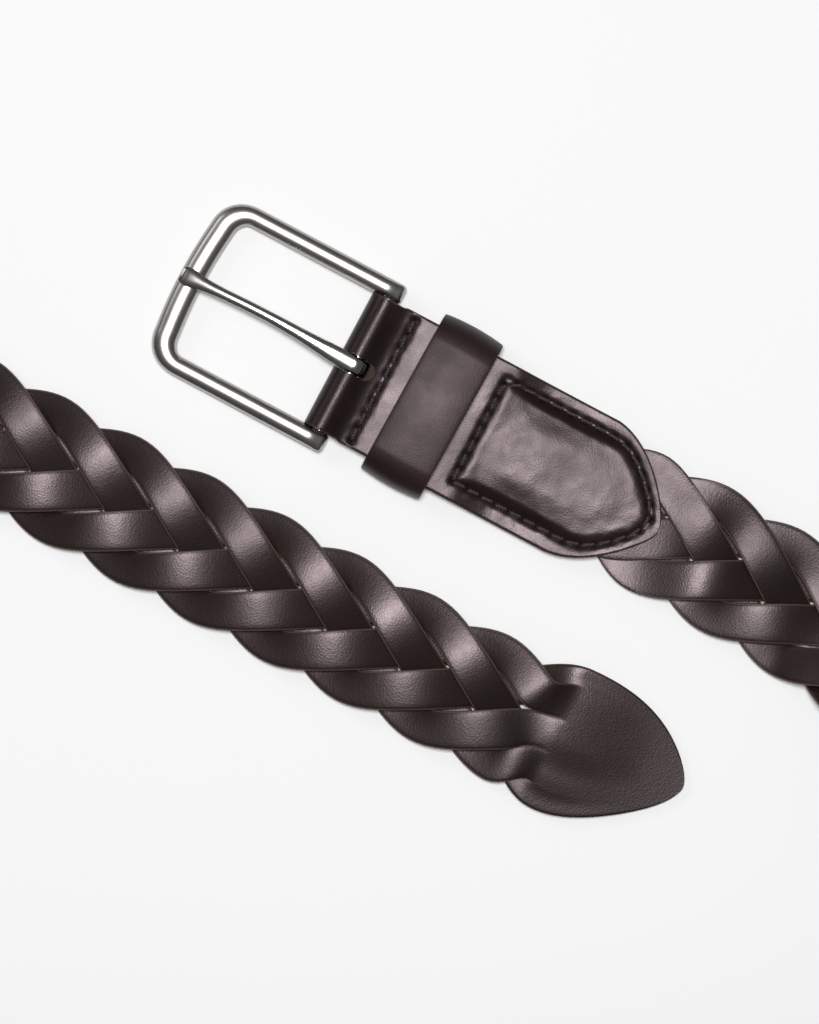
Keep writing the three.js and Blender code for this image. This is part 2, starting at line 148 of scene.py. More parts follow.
def bump_node(tree, height, depth_mm):
    """Adds a relief as deep as so many millimetres."""
    return add(tree, "ShaderNodeBump", links={
        "Height": height, "Strength": 1.0, "Distance": depth_mm / 1000})


def new_material(name):
    material = bpy.data.materials.new(name)
    material.use_nodes = True
    material.node_tree.nodes.clear()
    return material, material.node_tree


print("mid grey in linear light", round(colour("#808080")[0], 3))


# %% Floor, world and lights
floor_material, tree = new_material("matt white paper")
paper = add(tree, "ShaderNodeBsdfPrincipled", links={
    "Base Color": colour("#f4f4f4"), "Roughness": 0.9, "Specular IOR Level": 0.2})
fibres = add(tree, "ShaderNodeTexNoise", links={
    "Vector": add(tree, "ShaderNodeTexCoord").outputs["Object"], "Scale": 900.0, "Detail": 3.0})
relief = add(tree, "ShaderNodeBump", links={"Height": fibres, "Strength": 0.05, "Distance": 0.0002})
tree.links.new(relief.outputs[0], paper.inputs["Normal"])
add(tree, "ShaderNodeOutputMaterial", links={"Surface": paper})

floor_mesh = bpy.data.meshes.new("floor")
floor_half = 4.0
floor_mesh.from_pydata(
    [(-floor_half, -floor_half, 0), (floor_half, -floor_half, 0),
     (floor_half, floor_half, 0), (-floor_half, floor_half, 0)], [], [(0, 1, 2, 3)])
floor_mesh.materials.append(floor_material)
floor = bpy.data.objects.new("floor", floor_mesh)
# It lies a hair low, so that no piece shares its plane
floor.location.z = -0.0002
scene.collection.objects.link(floor)

world = bpy.data.worlds.new("studio")
world.use_nodes = True
world.node_tree.nodes.clear()
room_light = add(world.node_tree, "ShaderNodeBackground", links={
    "Color": colour("#e2e2e4"), "Strength": 0.15})
add(world.node_tree, "ShaderNodeOutputWorld", links={"Surface": room_light})
scene.world = world
scene.view_settings.view_transform = "Standard"

# Each has a name, its place from the middle of the picture and its side in metres, and its watts
softboxes = [
    ("overhead softbox", (-0.08, 0.12, 1.6), 0.34, 23.0),
    ("side softbox", (-1.5, 0.3, 1.0), 0.7, 3.0),
]
for name, place, size, power in softboxes:
    lamp_data = bpy.data.lights.new(name, "AREA")
    lamp_data.shape = "SQUARE"
    lamp_data.size = size
    lamp_data.energy = power
    lamp = bpy.data.objects.new(name, lamp_data)
    lamp.location = Vector(place) + Vector((look_at[0], look_at[1], 0))
    towards = Vector((look_at[0], look_at[1], 0)) - lamp.location
    lamp.rotation_euler = towards.to_track_quat("-Z", "Y").to_euler()
    scene.collection.objects.link(lamp)
print("lights", [name for name, *_ in softboxes])

# %% [markdown]
# ## Leathers
#
# The real belt is full-grain cowhide, dyed nearly black brown and waxed. The wax gives a broad
# soft sheen, the grain breaks it up with pores under a millimetre wide, and the cut edges are
# bare fibres, rougher and a little paler. One function makes the leathers of the chape, of the
# strands and of the keeper, which is waxed less, with other values for each. The grain reads
# Object coordinates, so it neither slides nor stretches, and the paler edge reads an attribute
# that each piece carries.

# %% Leather
# Real pores are 0.1 to 0.2 mm wide and loose fibres 0.02 mm thick. Both are too fine to show in
# the picture, so they are drawn larger.
PORE_MM = 0.4
FIBRE_MM = 0.5
WRINKLE_MM = 1.2
CLOUD_MM = 14
# Height of the pores and of the fibres, where the wrinkles have 1
PORE_HEIGHT, FIBRE_HEIGHT = 0.45, 1.6


def leather(name, base, worn, edge, roughness, relief_mm):
    """Waxed dyed cowhide: sunken pores, fine wrinkles, worn patches and fibrous edges."""
    material, tree = new_material(name)
    place = add(tree, "ShaderNodeTexCoord").outputs["Object"]
    pores = add(tree, "ShaderNodeTexVoronoi", {"feature": "DISTANCE_TO_EDGE"}, {
        "Vector": place, "Scale": 1000 / (PORE_MM * 2)})
    cells = add(tree, "ShaderNodeValToRGB", links={0: pores})
    cells.color_ramp.elements[0].position = 0.02
    cells.color_ramp.elements[1].position = 0.35
    wrinkles = noise_node(tree, place, WRINKLE_MM, 6.0, 0.62)
    clouds = noise_node(tree, place, CLOUD_MM, 4.0, 0.6)
    grain = math_node(tree, "MULTIPLY_ADD", cells, PORE_HEIGHT, wrinkles)
    cut = add(tree, "ShaderNodeAttribute", {"attribute_name": "edge"}).outputs["Fac"]
    fibres = noise_node(tree, place, FIBRE_MM, 5.0, 0.75)
    cut_height = math_node(tree, "MULTIPLY", fibres, cut)
    height = math_node(tree, "MULTIPLY_ADD", cut_height, FIBRE_HEIGHT, grain)
    relief = bump_node(tree, height, relief_mm)
    cloudy = add(tree, "ShaderNodeValToRGB", links={0: clouds})
    cloudy.color_ramp.elements[0].position = 0.35
    cloudy.color_ramp.elements[0].color = colour(base)
    cloudy.color_ramp.elements[1].position = 0.75
    cloudy.color_ramp.elements[1].color = colour(worn)
    fibre_share = math_node(tree, "MULTIPLY", cut, 0.8, use_clamp=True)
    tone = add(tree, "ShaderNodeMix", {"data_type": "RGBA"}, {
        "Factor": fibre_share, 6: cloudy, 7: colour(edge)})
    gloss = add(tree, "ShaderNodeMapRange", links={
        "Value": clouds, "From Min": 0.3, "From Max": 0.75,
        "To Min": roughness + 0.05, "To Max": roughness - 0.06})
    dull = math_node(tree, "MULTIPLY_ADD", cut, 0.35, gloss.outputs[0], use_clamp=True)
    surface = add(tree, "ShaderNodeBsdfPrincipled", links={
        "Base Color": tone.outputs[2], "Roughness": dull, "Normal": relief, "IOR": 1.5,
        "Specular IOR Level": 0.34, "Specular Tint": colour("#ffe9ec")})
    add(tree, "ShaderNodeOutputMaterial", links={"Surface": surface})
    return material


chape_leather = leather("waxed smooth cowhide", "#150d0c", "#231817", "#45362f", 0.33, 0.02)
strand_leather = leather("waxed fine grained cowhide", "#150d0c", "#241817", "#5c4a40", 0.32, 0.022)
keeper_leather = leather("less waxed smooth cowhide", "#1a1010", "#2a1c1b", "#45362f", 0.46, 0.022)
print("leathers", [skin.name for skin in (chape_leather, strand_leather, keeper_leather)])

# %% [markdown]
# ## Metals and thread
#
# The frame is cast zinc under nickel plate that was rubbed to a satin: it mirrors the room in
# soft bands. The prong is bent from flat wire and polished, so its bands are sharper. The thread
# is bonded nylon, dyed brown, of two twisted plies.

# %% Metals and thread
# The lines of rubbing are finer than the picture shows, so they are drawn at 0.4 mm, and the
# thread's fuzz at 0.25 mm
RUBBED_MM, HAZE_MM, FUZZ_MM = 0.4, 6, 0.25


def nickel(name, base, roughness, relief_mm):
    """Nickel plate: a warm grey metal whose rubbed surface blurs what it mirrors."""
    material, tree = new_material(name)
    place = add(tree, "ShaderNodeTexCoord").outputs["Object"]
    haze = noise_node(tree, place, HAZE_MM, 4.0)
    gloss = add(tree, "ShaderNodeMapRange", links={
        "Value": haze, "To Min": roughness - 0.04, "To Max": roughness + 0.06})
    relief = bump_node(tree, noise_node(tree, place, RUBBED_MM, 3.0), relief_mm)
    surface = add(tree, "ShaderNodeBsdfPrincipled", links={
        "Base Color": colour(base), "Metallic": 1.0, "Roughness": gloss.outputs[0], "Normal": relief})
    add(tree, "ShaderNodeOutputMaterial", links={"Surface": surface})
    return material


satin_nickel = nickel("satin nickel plate", "#aeaba7", 0.27, 0.004)
polished_nickel = nickel("polished nickel plate", "#b3b0ac", 0.17, 0.002)

thread, tree = new_material("bonded brown nylon thread")
place = add(tree, "ShaderNodeTexCoord").outputs["Object"]
fuzz = noise_node(tree, place, FUZZ_MM, 4.0)
tone = add(tree, "ShaderNodeValToRGB", links={0: fuzz})
tone.color_ramp.elements[0].color = colour("#1e1613")
tone.color_ramp.elements[1].color = colour("#473830")
relief = bump_node(tree, fuzz, 0.08)
surface = add(tree, "ShaderNodeBsdfPrincipled", links={
    "Base Color": tone, "Roughness": 0.55, "Normal": relief, "IOR": 1.53})
add(tree, "ShaderNodeOutputMaterial", links={"Surface": surface})

# The needle holes are painted shade: this dark, dull colour stands for the shade inside them
needle_hole_shade, tree = new_material("painted shade in needle holes")
surface = add(tree, "ShaderNodeBsdfPrincipled", links={
    "Base Color": colour("#0c0908"), "Roughness": 0.9, "Specular IOR Level": 0.1})
add(tree, "ShaderNodeOutputMaterial", links={"Surface": surface})
print("metals", satin_nickel.name, "and", polished_nickel.name, "with", thread.name)

# %% [markdown]
# ## The belt's way over the table
#
# Every strand lies in the belt's own space: so far along it, so far across it to the left, and so
# far off its middle. The way then says where that is in the room. It is a straight first line, a
# loop that stands on its edge as a springy belt does, and a second line. The loop's long side and
# its last bend follow from where the second line starts.

# %% The way, piece by piece
FIRST_LINE, TWIST_LENGTH = 84.0, 80.0
SECOND_START, SECOND_HEADING, SECOND_LINE = (-78.0, -58.9), -0.2, 201.7
LEAD_RADIUS, LEAD_TURN, EASE_RADIUS, EASE_TURN = 520, 5, 220, 16.0
BEND_RADIUS, RETURN_HEADING = 53, 153.0


def arc(radius, degrees):
    """Length and bend of a right-hand arc."""
    return (radius * math.radians(degrees), 1 / radius)


def walk(start, pieces):
    """Follows lines and right-hand arcs from a place and heading."""
    x, y, heading = start
    for length, bend in pieces:
        half = -length * bend / 2
        chord = length * np.sinc(half / np.pi)
        x += chord * math.cos(heading + half)
        y += chord * math.sin(heading + half)
        heading += 2 * half
    return x, y, heading


out = [(FIRST_LINE, 0.0), arc(LEAD_RADIUS, LEAD_TURN), arc(EASE_RADIUS, EASE_TURN),
       arc(BEND_RADIUS, RETURN_HEADING - LEAD_TURN - EASE_TURN)]
back_turn = 360 - SECOND_HEADING - RETURN_HEADING - EASE_TURN
turned = walk((0, 0, 0), out)
far = (math.cos(turned[2]), math.sin(turned[2]))
bend = walk((0, 0, turned[2]), [arc(1, back_turn)])
eased = walk((0, 0, bend[2]), [arc(EASE_RADIUS, EASE_TURN)])
open_x = SECOND_START[0] - turned[0] - eased[0]
open_y = SECOND_START[1] - turned[1] - eased[1]
crossing = far[0] * bend[1] - far[1] * bend[0]
far_length = (open_x * bend[1] - open_y * bend[0]) / crossing
back_radius = (far[0] * open_y - far[1] * open_x) / crossing
way = [*out, (far_length, 0.0), arc(back_radius, back_turn), arc(EASE_RADIUS, EASE_TURN),
       (SECOND_LINE, 0.0)]
way_starts = np.cumsum([0.0] + [length for length, _ in way])
way_poses = np.array([walk((0, 0, 0), way[:i]) for i in range(len(way))])
way_bends = np.array([bend for _, bend in way])
belt_length = way_starts[-1]
loop_start = way_starts[2]
loop_end = way_starts[-2]
print("belt length", round(belt_length, 1), "mm, last bend of radius", round(back_radius, 1))

# %% Sizes of the straps and of the plait
STRAP_WIDTH, STRAND_LEATHER, CHAPE_LEATHER, CLEARANCE = 38.0, 1.6, 2.0, 0.3
CHAPE_LENGTH, PAD_START = 87.5, 35.6
STRANDS, STRAND_WIDTH, STRAND_SPACE = 5, 10.0, 0.45
TURN_INNER_WIDTH, SWING, SHARPNESS = 3.6, 12.4, 0.9
# The first turn is measured from the bar, and the last turn from the tip's end
PLAIT_START, FIRST_TURN, LAST_TURN, SCALLOP_PITCH = 58.0, 98.4, 56.4, 21.3
# The tip begins to sink a little before the strap is whole again
TIP_LENGTH, SINK_LEAD = 27.2, 13.0
# Under the chape the strands are pressed to a share of their height and drawn in to a share of
# their width, and they loosen from a little before its end. Its leather is skived there.
PRESSED, DRAWN, SKIVED = 0.38, 0.72, 0.85
LOOSE_LEAD, LOOSE_STRETCH = 4, 24
layer_step = STRAND_LEATHER + STRAND_SPACE
plait_height = 1.22 * layer_step
plait_ripple = -0.056 * layer_step
plait_roll = -0.016 * layer_step
braid_half = plait_height + STRAND_LEATHER / 2 + 0.75 * abs(plait_roll) * STRAND_WIDTH / 2
plait_edge = SWING + STRAND_WIDTH / 2
pocket_half = braid_half * PRESSED + CLEARANCE / 2
pocket_middle = SKIVED * CHAPE_LEATHER + pocket_half
turn_place = belt_length - LAST_TURN
plait_length = STRANDS * (turn_place - FIRST_TURN) / round((turn_place - FIRST_TURN) / SCALLOP_PITCH)
scallop = plait_length / STRANDS
tip_start = belt_length - TIP_LENGTH
print("a strand comes back after", round(plait_length, 1), "mm")


# %% Belt space to the table
def poses_at(s):
    """Place and heading of the way, so far along it."""
    i = np.clip(np.searchsorted(way_starts, s, side="right") - 1, 0, len(way) - 1)
    length = s - way_starts[i]
    half = -length * way_bends[i] / 2
    chord = length * np.sinc(half / np.pi)
    x, y, heading = way_poses[i].T
    return x + chord * np.cos(heading + half), y + chord * np.sin(heading + half), heading + 2 * half


def tilt_at(s):
    """How far the belt is turned from lying flat onto its edge."""
    rise = smooth((s - loop_start) / TWIST_LENGTH)
    fall = smooth((loop_end - s) / TWIST_LENGTH)
    return np.pi / 2 * np.minimum(rise, fall)


def loosened(s):
    """From 0 under the chape to 1 where the plait lies free."""
    return smooth((s - CHAPE_LENGTH + LOOSE_LEAD) / LOOSE_STRETCH)


def middle_at(s):
    """Height of the belt's middle over the table."""
    tilt = tilt_at(s)
    free = plait_edge * np.sin(tilt) + braid_half * np.cos(tilt)
    lying = mix(pocket_middle, free, loosened(s))
    fallen = np.clip((s - tip_start + SINK_LEAD) / (TIP_LENGTH + SINK_LEAD), 0, 1)
    return mix(lying, STRAND_LEATHER / 2, 0.4 * smooth(fallen) + 0.6 * fallen)


def on_table(s, across, lift):
    """Lays points of the belt's space on the table, in millimetres from the bar."""
    x, y, heading = poses_at(s)
    tilt = tilt_at(s)
    press = mix(PRESSED, 1, loosened(s))
    draw = mix(DRAWN, 1, smooth((s - PLAIT_START) / (CHAPE_LENGTH - PLAIT_START - 2)))
    side = across * draw * np.cos(tilt) + lift * press * np.sin(tilt)
    up = lift * press * np.cos(tilt) - across * draw * np.sin(tilt)
    return np.stack([x - side * np.sin(heading), y + side * np.cos(heading), middle_at(s) + up], axis=-1)


loop_middle = np.array([(loop_start + loop_end) / 2])
print("the loop's middle stands", round(float(middle_at(loop_middle)[0]), 1), "mm up")

# %% [markdown]
# ## One strand of the plait
#
# In a flat plait of five, each strand swings from edge to edge, over two strands and under two,
# and all five do the same, a fifth of a swing apart. That is a rule, so Geometry Nodes make it: a
# grid of rows along the belt is rolled into the section of a strap, and a chain of Math nodes
# says where each point swings, dives and leans. Blender's Array or a curve with a bevel could
# repeat one modelled swing too, but neither could draw the strand's inner edge in at its turn.

# %% Inputs of the strand's tree
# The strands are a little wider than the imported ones, because their cut edges are rounded off
WIDER, WIDER_AT_TURN = 0.2, 0.5
strand_inputs = {
    "Rows": 900, "Ring points": 28, "Start": 60.0, "End": belt_length,
    "Turn place": turn_place, "Plait length": plait_length, "Swing share": 0.0, "Swing": SWING,
    "Sharpness": SHARPNESS, "Half width": STRAND_WIDTH / 2 + WIDER,
    "Half width at turn": TURN_INNER_WIDTH + WIDER_AT_TURN,
    "Half thickness": STRAND_LEATHER / 2, "Crown": 0.1, "Squareness": 8.0,
    "Height": plait_height, "Ripple": plait_ripple, "Roll": plait_roll,
}
strand_tree = bpy.data.node_groups.new("plait strand", "GeometryNodeTree")
for name, value in strand_inputs.items():
    kind = "NodeSocketInt" if isinstance(value, int) else "NodeSocketFloat"
    socket = strand_tree.interface.new_socket(name, in_out="INPUT", socket_type=kind)
    socket.default_value = value
strand_tree.interface.new_socket("Leather", in_out="INPUT", socket_type="NodeSocketMaterial")
strand_tree.interface.new_socket("Geometry", in_out="OUTPUT", socket_type="NodeSocketGeometry")
given = add(strand_tree, "NodeGroupInput")
columns = math_node(strand_tree, "ADD", given.outputs["Ring points"], 1.0)
grid = add(strand_tree, "GeometryNodeMeshGrid", links={
    "Size X": 1.0, "Size Y": 1.0, "Vertices X": given.outputs["Rows"], "Vertices Y": columns})
spot = add(strand_tree, "ShaderNodeSeparateXYZ", links={
    0: add(strand_tree, "GeometryNodeInputPosition")})
print("strand inputs", len(strand_inputs))

# %% Where a point of a strand lies, step by step
# Each row names a value and says how it follows from those before it
strand_steps = [
    ("row", "ADD", "grid x", 0.5),
    ("ring", "ADD", "grid y", 0.5),
    ("reach", "SUBTRACT", "End", "Start"),
    ("s", "MULTIPLY_ADD", "row", "reach", "Start"),
    ("past turn", "SUBTRACT", "s", "Turn place"),
    ("swings", "DIVIDE", "past turn", "Plait length"),
    ("phase", "ADD", "swings", "Swing share"),
    ("angle", "MULTIPLY", "phase", 2 * math.pi),
    ("turning", "COSINE", "angle"),
    ("going", "SINE", "angle"),
    ("sharp turning", "MULTIPLY", "turning", "Sharpness"),
    ("bowed", "ARCSINE", "sharp turning"),
    ("most bowed", "ARCSINE", "Sharpness"),
    ("unit swing", "DIVIDE", "Swing", "most bowed"),
    ("across", "MULTIPLY", "bowed", "unit swing"),
    ("turning squared", "MULTIPLY", "sharp turning", "sharp turning"),
    ("rest", "SUBTRACT", 1.0, "turning squared"),
    ("root", "SQRT", "rest"),
    ("sharp going", "MULTIPLY", "going", "Sharpness"),
    ("steep", "DIVIDE", "sharp going", "root"),
    ("steep swing", "MULTIPLY", "steep", "unit swing"),
    ("turns per mm", "DIVIDE", -2 * math.pi, "Plait length"),
    ("slope", "MULTIPLY", "steep swing", "turns per mm"),
    ("slope squared", "MULTIPLY_ADD", "slope", "slope", 1.0),
    ("stretch", "SQRT", "slope squared"),
    ("ring angle", "MULTIPLY", "ring", 2 * math.pi),
    ("share across", "COSINE", "ring angle"),
    ("ring up", "SINE", "ring angle"),
    ("side", "SIGN", "ring up"),
    ("share size", "ABSOLUTE", "share across"),
    ("share power", "POWER", "share size", "Squareness"),
    ("open share", "SUBTRACT", 1.0, "share power"),
    ("not below none", "MAXIMUM", "open share", 0.0),
    ("root power", "DIVIDE", 1.0, "Squareness"),
    ("share up size", "POWER", "not below none", "root power"),
    ("share up", "MULTIPLY", "share up size", "side"),
    ("hand", "SIGN", "share across"),
    ("inward", "MULTIPLY", "turning", "hand"),
    ("inward flipped", "MULTIPLY", "inward", -1.0),
    ("inner share", "MAXIMUM", "inward flipped", 0.0),
    ("inner power", "POWER", "inner share", 4.0),
    ("narrowing", "SUBTRACT", "Half width at turn", "Half width"),
    ("half here", "MULTIPLY_ADD", "inner power", "narrowing", "Half width"),
    ("offset", "MULTIPLY", "share across", "half here"),
    ("double angle", "MULTIPLY", "angle", 2.0),
    ("wave", "SINE", "double angle"),
    ("fourfold angle", "MULTIPLY", "angle", 4.0),
    ("small wave", "SINE", "fourfold angle"),
    ("rippled", "MULTIPLY", "small wave", "Ripple"),
    ("height", "MULTIPLY_ADD", "wave", "Height", "rippled"),
    ("lean", "MULTIPLY", "going", "Roll"),
    ("leaning", "MULTIPLY_ADD", "offset", "lean", "height"),
    ("skin", "MULTIPLY_ADD", "share up", "Half thickness", "leaning"),
    ("share squared", "MULTIPLY", "share across", "share across"),
    ("from edge", "SUBTRACT", 1.0, "share squared"),
    ("crowned", "MULTIPLY", "from edge", "Crown"),
    ("is top", "GREATER_THAN", "ring up", 0.01),
    ("top crown", "MULTIPLY", "crowned", "is top"),
    ("lift", "ADD", "skin", "top crown"),
    ("slant", "DIVIDE", "offset", "stretch"),
    ("back", "MULTIPLY", "slant", "slope"),
    ("along", "SUBTRACT", "s", "back"),
    ("sideways", "ADD", "across", "slant"),
]


def work_out(tree, steps, made):
    """Adds a Math node for each step, with inputs by name from what is made already."""
    for name, operation, *values in steps:
        values = [made[value] if isinstance(value, str) else value for value in values]
        made[name] = math_node(tree, operation, *values).outputs[0]
    return made


made = {name: given.outputs[name] for name in strand_inputs}
made["grid x"] = spot.outputs[0]
made["grid y"] = spot.outputs[1]
made = work_out(strand_tree, strand_steps, made)
print("strand steps", len(strand_steps))

# %% Lay the strand's points and dress it
geometry = grid.outputs["Mesh"]
for name in ("s", "share across", "share up"):
    geometry = add(strand_tree, "GeometryNodeStoreNamedAttribute", {"data_type": "FLOAT"}, {
        "Geometry": geometry, "Name": name, "Value": made[name]}).outputs[0]
laid = add(strand_tree, "ShaderNodeCombineXYZ", links={
    0: made["along"], 1: made["sideways"], 2: made["lift"]})
geometry = add(strand_tree, "GeometryNodeSetPosition", links={"Geometry": geometry, "Position": laid})
realized = add(strand_tree, "GeometryNodeRealizeInstances", links={"Geometry": geometry})
dressed = add(strand_tree, "GeometryNodeSetMaterial", links={
    "Geometry": realized, "Material": given.outputs["Leather"]})
add(strand_tree, "NodeGroupOutput", links={0: dressed})
print("strand tree with", len(strand_tree.nodes), "nodes")


# %% Run a tree and keep its plain mesh
def grow(name, tree, values, source=None):
    """Runs a tree on a new object with values by input name, and leaves its plain mesh there."""
    piece = bpy.data.objects.new(name, source or bpy.data.meshes.new(name))
    scene.collection.objects.link(piece)
    modifier = piece.modifiers.new(name, "NODES")
    modifier.node_group = tree
    sockets = {item.name: item.identifier for item in tree.interface.items_tree
               if item.item_type == "SOCKET" and item.in_out == "INPUT"}
    for key, value in values.items():
        modifier[sockets[key]] = value
    evaluated = piece.evaluated_get(bpy.context.evaluated_depsgraph_get())
    mesh = bpy.data.meshes.new_from_object(evaluated)
    mesh.name = name
    bpy.data.objects.remove(piece)
    return mesh


def read_points(mesh):
    points = np.empty(len(mesh.vertices) * 3)
    mesh.vertices.foreach_get("co", points)
    return points.reshape(-1, 3)


def read_values(mesh, name):
    values = np.empty(len(mesh.vertices))
    mesh.attributes[name].data.foreach_get("value", values)
    return values


def read_faces(mesh):
    corners = np.empty(len(mesh.loops), dtype=int)
    mesh.loops.foreach_get("vertex_index", corners)
    return corners.reshape(-1, 4)


print("grid of a strand", strand_inputs["Rows"], "by", strand_inputs["Ring points"] + 1)

# %% [markdown]
# ## From the plait into the tip
#
# The strands are cut into one strap, so at the tip each strand comes back to its own lane of
# the strap's width and the slits end. There is no rule for that stretch: the lanes aren't equal,
# and each strand leaves the plait at its own place. So the points of the last swing are eased,
# in plain arrays, from the plait into their lanes. Where a slit ends, the strands' heights flow
# into each other as soft pleats.

# %% Edges and heights of the tip
slit_end = turn_place + 22.0
LAST_LANE = STRANDS - 1
# The edges are polynomials of the root of the distance to the tip's end, which suits a round end
TIP_REACH = 36
tip_edge_places = np.sqrt([TIP_REACH, 31, 24, 14, 7, 4, 2, 1, 0])
left_edge = np.polyfit(tip_edge_places, [19.7, 20.1, 19.6, 17.3, 13.1, 10.7, 8.3, 7.0, 4.1], 5)
right_edge = np.polyfit(tip_edge_places, [-17.9, -18.3, -16.8, -11.2, -5.9, -2.9, -0.4, 1.1, 4.1], 5)
# Each strand's place in the swing, and how many scallops past the last left turn it leaves the
# plait, from the tip's left edge to its right edge
strand_places = [
    {"name": "strand_1", "swing": 0.8, "leaves": 0.50},
    {"name": "strand_2", "swing": 0.0, "leaves": 0.50},
    {"name": "strand_3", "swing": 0.6, "leaves": 0.45},
    {"name": "strand_4", "swing": 0.4, "leaves": 0.50},
    {"name": "strand_5", "swing": 0.2, "leaves": 0.40},
]
# How high each strand lies over the strap's middle where the slits end: the second and third lie
# on top. How much wider than its lane, or narrower, it still is a little before, on both sides.
LANE_HEIGHTS = np.array([0.3, 0.7, 0.8, 0.15, -0.35])
EXTRA_LEFT = np.array([0.0, 3.0, -1.7, 1.2, 1.5])
EXTRA_RIGHT = np.array([2.0, -1.8, 1.2, 0.6, 0.0])
# Where the strands lie side by side there, in shares of the width from the left edge, and how
# far their heights go on into the tip
LANES = np.array([0.0, 0.13, 0.385, 0.625, 0.85, 1.0])
PLEAT_STRETCH = 25


def lane_heights(s):
    settled = 1 - smooth((s - (slit_end - 1)) / PLEAT_STRETCH)
    return LANE_HEIGHTS[:, None] * settled[None, :]


def pleated(s, lanes):
    """Height of the strap at a place across it, counted in lanes from its left edge."""
    centre = np.clip(lanes - 0.5, 0, LAST_LANE)
    low = np.floor(np.minimum(centre, LAST_LANE - 0.001)).astype(int)
    heights = lane_heights(s)
    rows = np.arange(len(s))
    return mix(heights[low, rows], heights[low + 1, rows], smooth(centre - low))


def tip_edges(s):
    """Left and right edge of the strap, from where the strands leave the plait."""
    root = np.sqrt(np.clip(belt_length - s, 0, TIP_REACH))
    lean = smooth((s - turn_place) / 20)
    drift = mix(STRAP_WIDTH / 2, np.polyval(left_edge, root), lean)
    return drift, mix(-STRAP_WIDTH / 2, np.polyval(right_edge, root), lean)


print("slits end", round(belt_length - slit_end, 1), "mm before the tip's end")


# %% Ease the strands into the tip and lay them on the table
END_STRETCH = 12


def settle_strand(mesh, place):
    """Returns points on the table, faces, and how far along and across each point is."""
    strand = strand_places[place]
    points = read_points(mesh)
    s = read_values(mesh, "s")
    share = read_values(mesh, "share across")
    up = read_values(mesh, "share up")
    start = turn_place + strand["leaves"] * scallop
    joined = smooth((s - start) / (slit_end - start))
    # Rows crowd towards the end, where the outline turns quickly
    last = belt_length - END_STRETCH
    s_lane = np.where(s > last, last + END_STRETCH * np.sin(np.pi / 2 * (s - last) / END_STRETCH), s)
    # Inner edges lose their rounding where the strap is whole
    whole = smooth((s - slit_end + 3) / 3)
    closing = smooth((s - slit_end + 9) / 9)
    inner = ((share > 0) & (place > 0)) | ((share < 0) & (place < LAST_LANE))
    fade = np.where(inner, whole, 0.0)
    edge_share = math.cos(2 * math.pi / strand_inputs["Ring points"])
    flat_share = mix(share, np.clip(share / edge_share, -1, 1), fade)
    flat_up = mix(up, np.sign(np.round(up, 6)), fade)
    left, right = tip_edges(s_lane)
    lane = (left - right) * (LANES[place + 1] - LANES[place])
    middle = left - (left - right) * (LANES[place] + LANES[place + 1]) / 2
    extra = np.where(share > 0, EXTRA_LEFT[place], EXTRA_RIGHT[place]) - CLEARANCE / 2
    across = middle + flat_share * (lane / 2 + extra * (1 - closing))
    soft = smooth((s - slit_end + 6) / 6)
    bed = mix(lane_heights(s)[place], pleated(s, place + 0.5 - flat_share / 2), soft)
    crown = strand_inputs["Crown"] * (1 - share ** 2) * (up > 0) * (1 - whole)
    eased = np.stack([s_lane, across, bed + flat_up * STRAND_LEATHER / 2 + crown], axis=-1)
    blended = points + (eased - points) * joined[:, None]
    return on_table(*blended.T), read_faces(mesh), s, share


strand_parts = []
for place, strand in enumerate(strand_places):
    values = {**strand_inputs, "Swing share": strand["swing"], "Leather": strand_leather}
    strand_parts.append(settle_strand(grow(strand["name"], strand_tree, values), place))
print("strand points", sum(len(part[0]) for part in strand_parts))


# %% Make plain pieces
def make_piece(name, points, faces, material, attributes=None, sharp=40, merge=1e-6):
    """Makes a closed, smooth-shaded piece from millimetre points, faces and point values."""
    mesh = bpy.data.meshes.new(name)
    mesh.from_pydata(to_room(points).tolist(), [], [list(face) for face in faces])
    for key, values in (attributes or {}).items():
        stored = mesh.attributes.new(key, "FLOAT", "POINT")
        stored.data.foreach_set("value", np.asarray(values, dtype=float))
    mesh.materials.append(material)
    work = bmesh.new()
    work.from_mesh(mesh)
    bmesh.ops.delete(work, geom=[v for v in work.verts if not v.link_faces], context="VERTS")
    bmesh.ops.remove_doubles(work, verts=work.verts, dist=merge)
    bmesh.ops.dissolve_degenerate(work, edges=work.edges, dist=merge / 4)
    open_edges = [edge for edge in work.edges if len(edge.link_faces) == 1]
    if open_edges:
        bmesh.ops.holes_fill(work, edges=open_edges, sides=0)
    bmesh.ops.recalc_face_normals(work, faces=work.faces)
    work.to_mesh(mesh)
    still_open = sum(1 for edge in work.edges if len(edge.link_faces) != 2)
    work.free()
    mesh.shade_smooth()
    mesh.set_sharp_from_angle(angle=math.radians(sharp))
    piece = bpy.data.objects.new(name, mesh)
    scene.collection.objects.link(piece)
    print(name, len(mesh.polygons), "faces,", still_open, "open edges")
    return piece


def edge_value(share):
    """1 on the cut edges of a strand and 0 on its faces."""
    return smooth((np.abs(share) - 0.955) / 0.03)


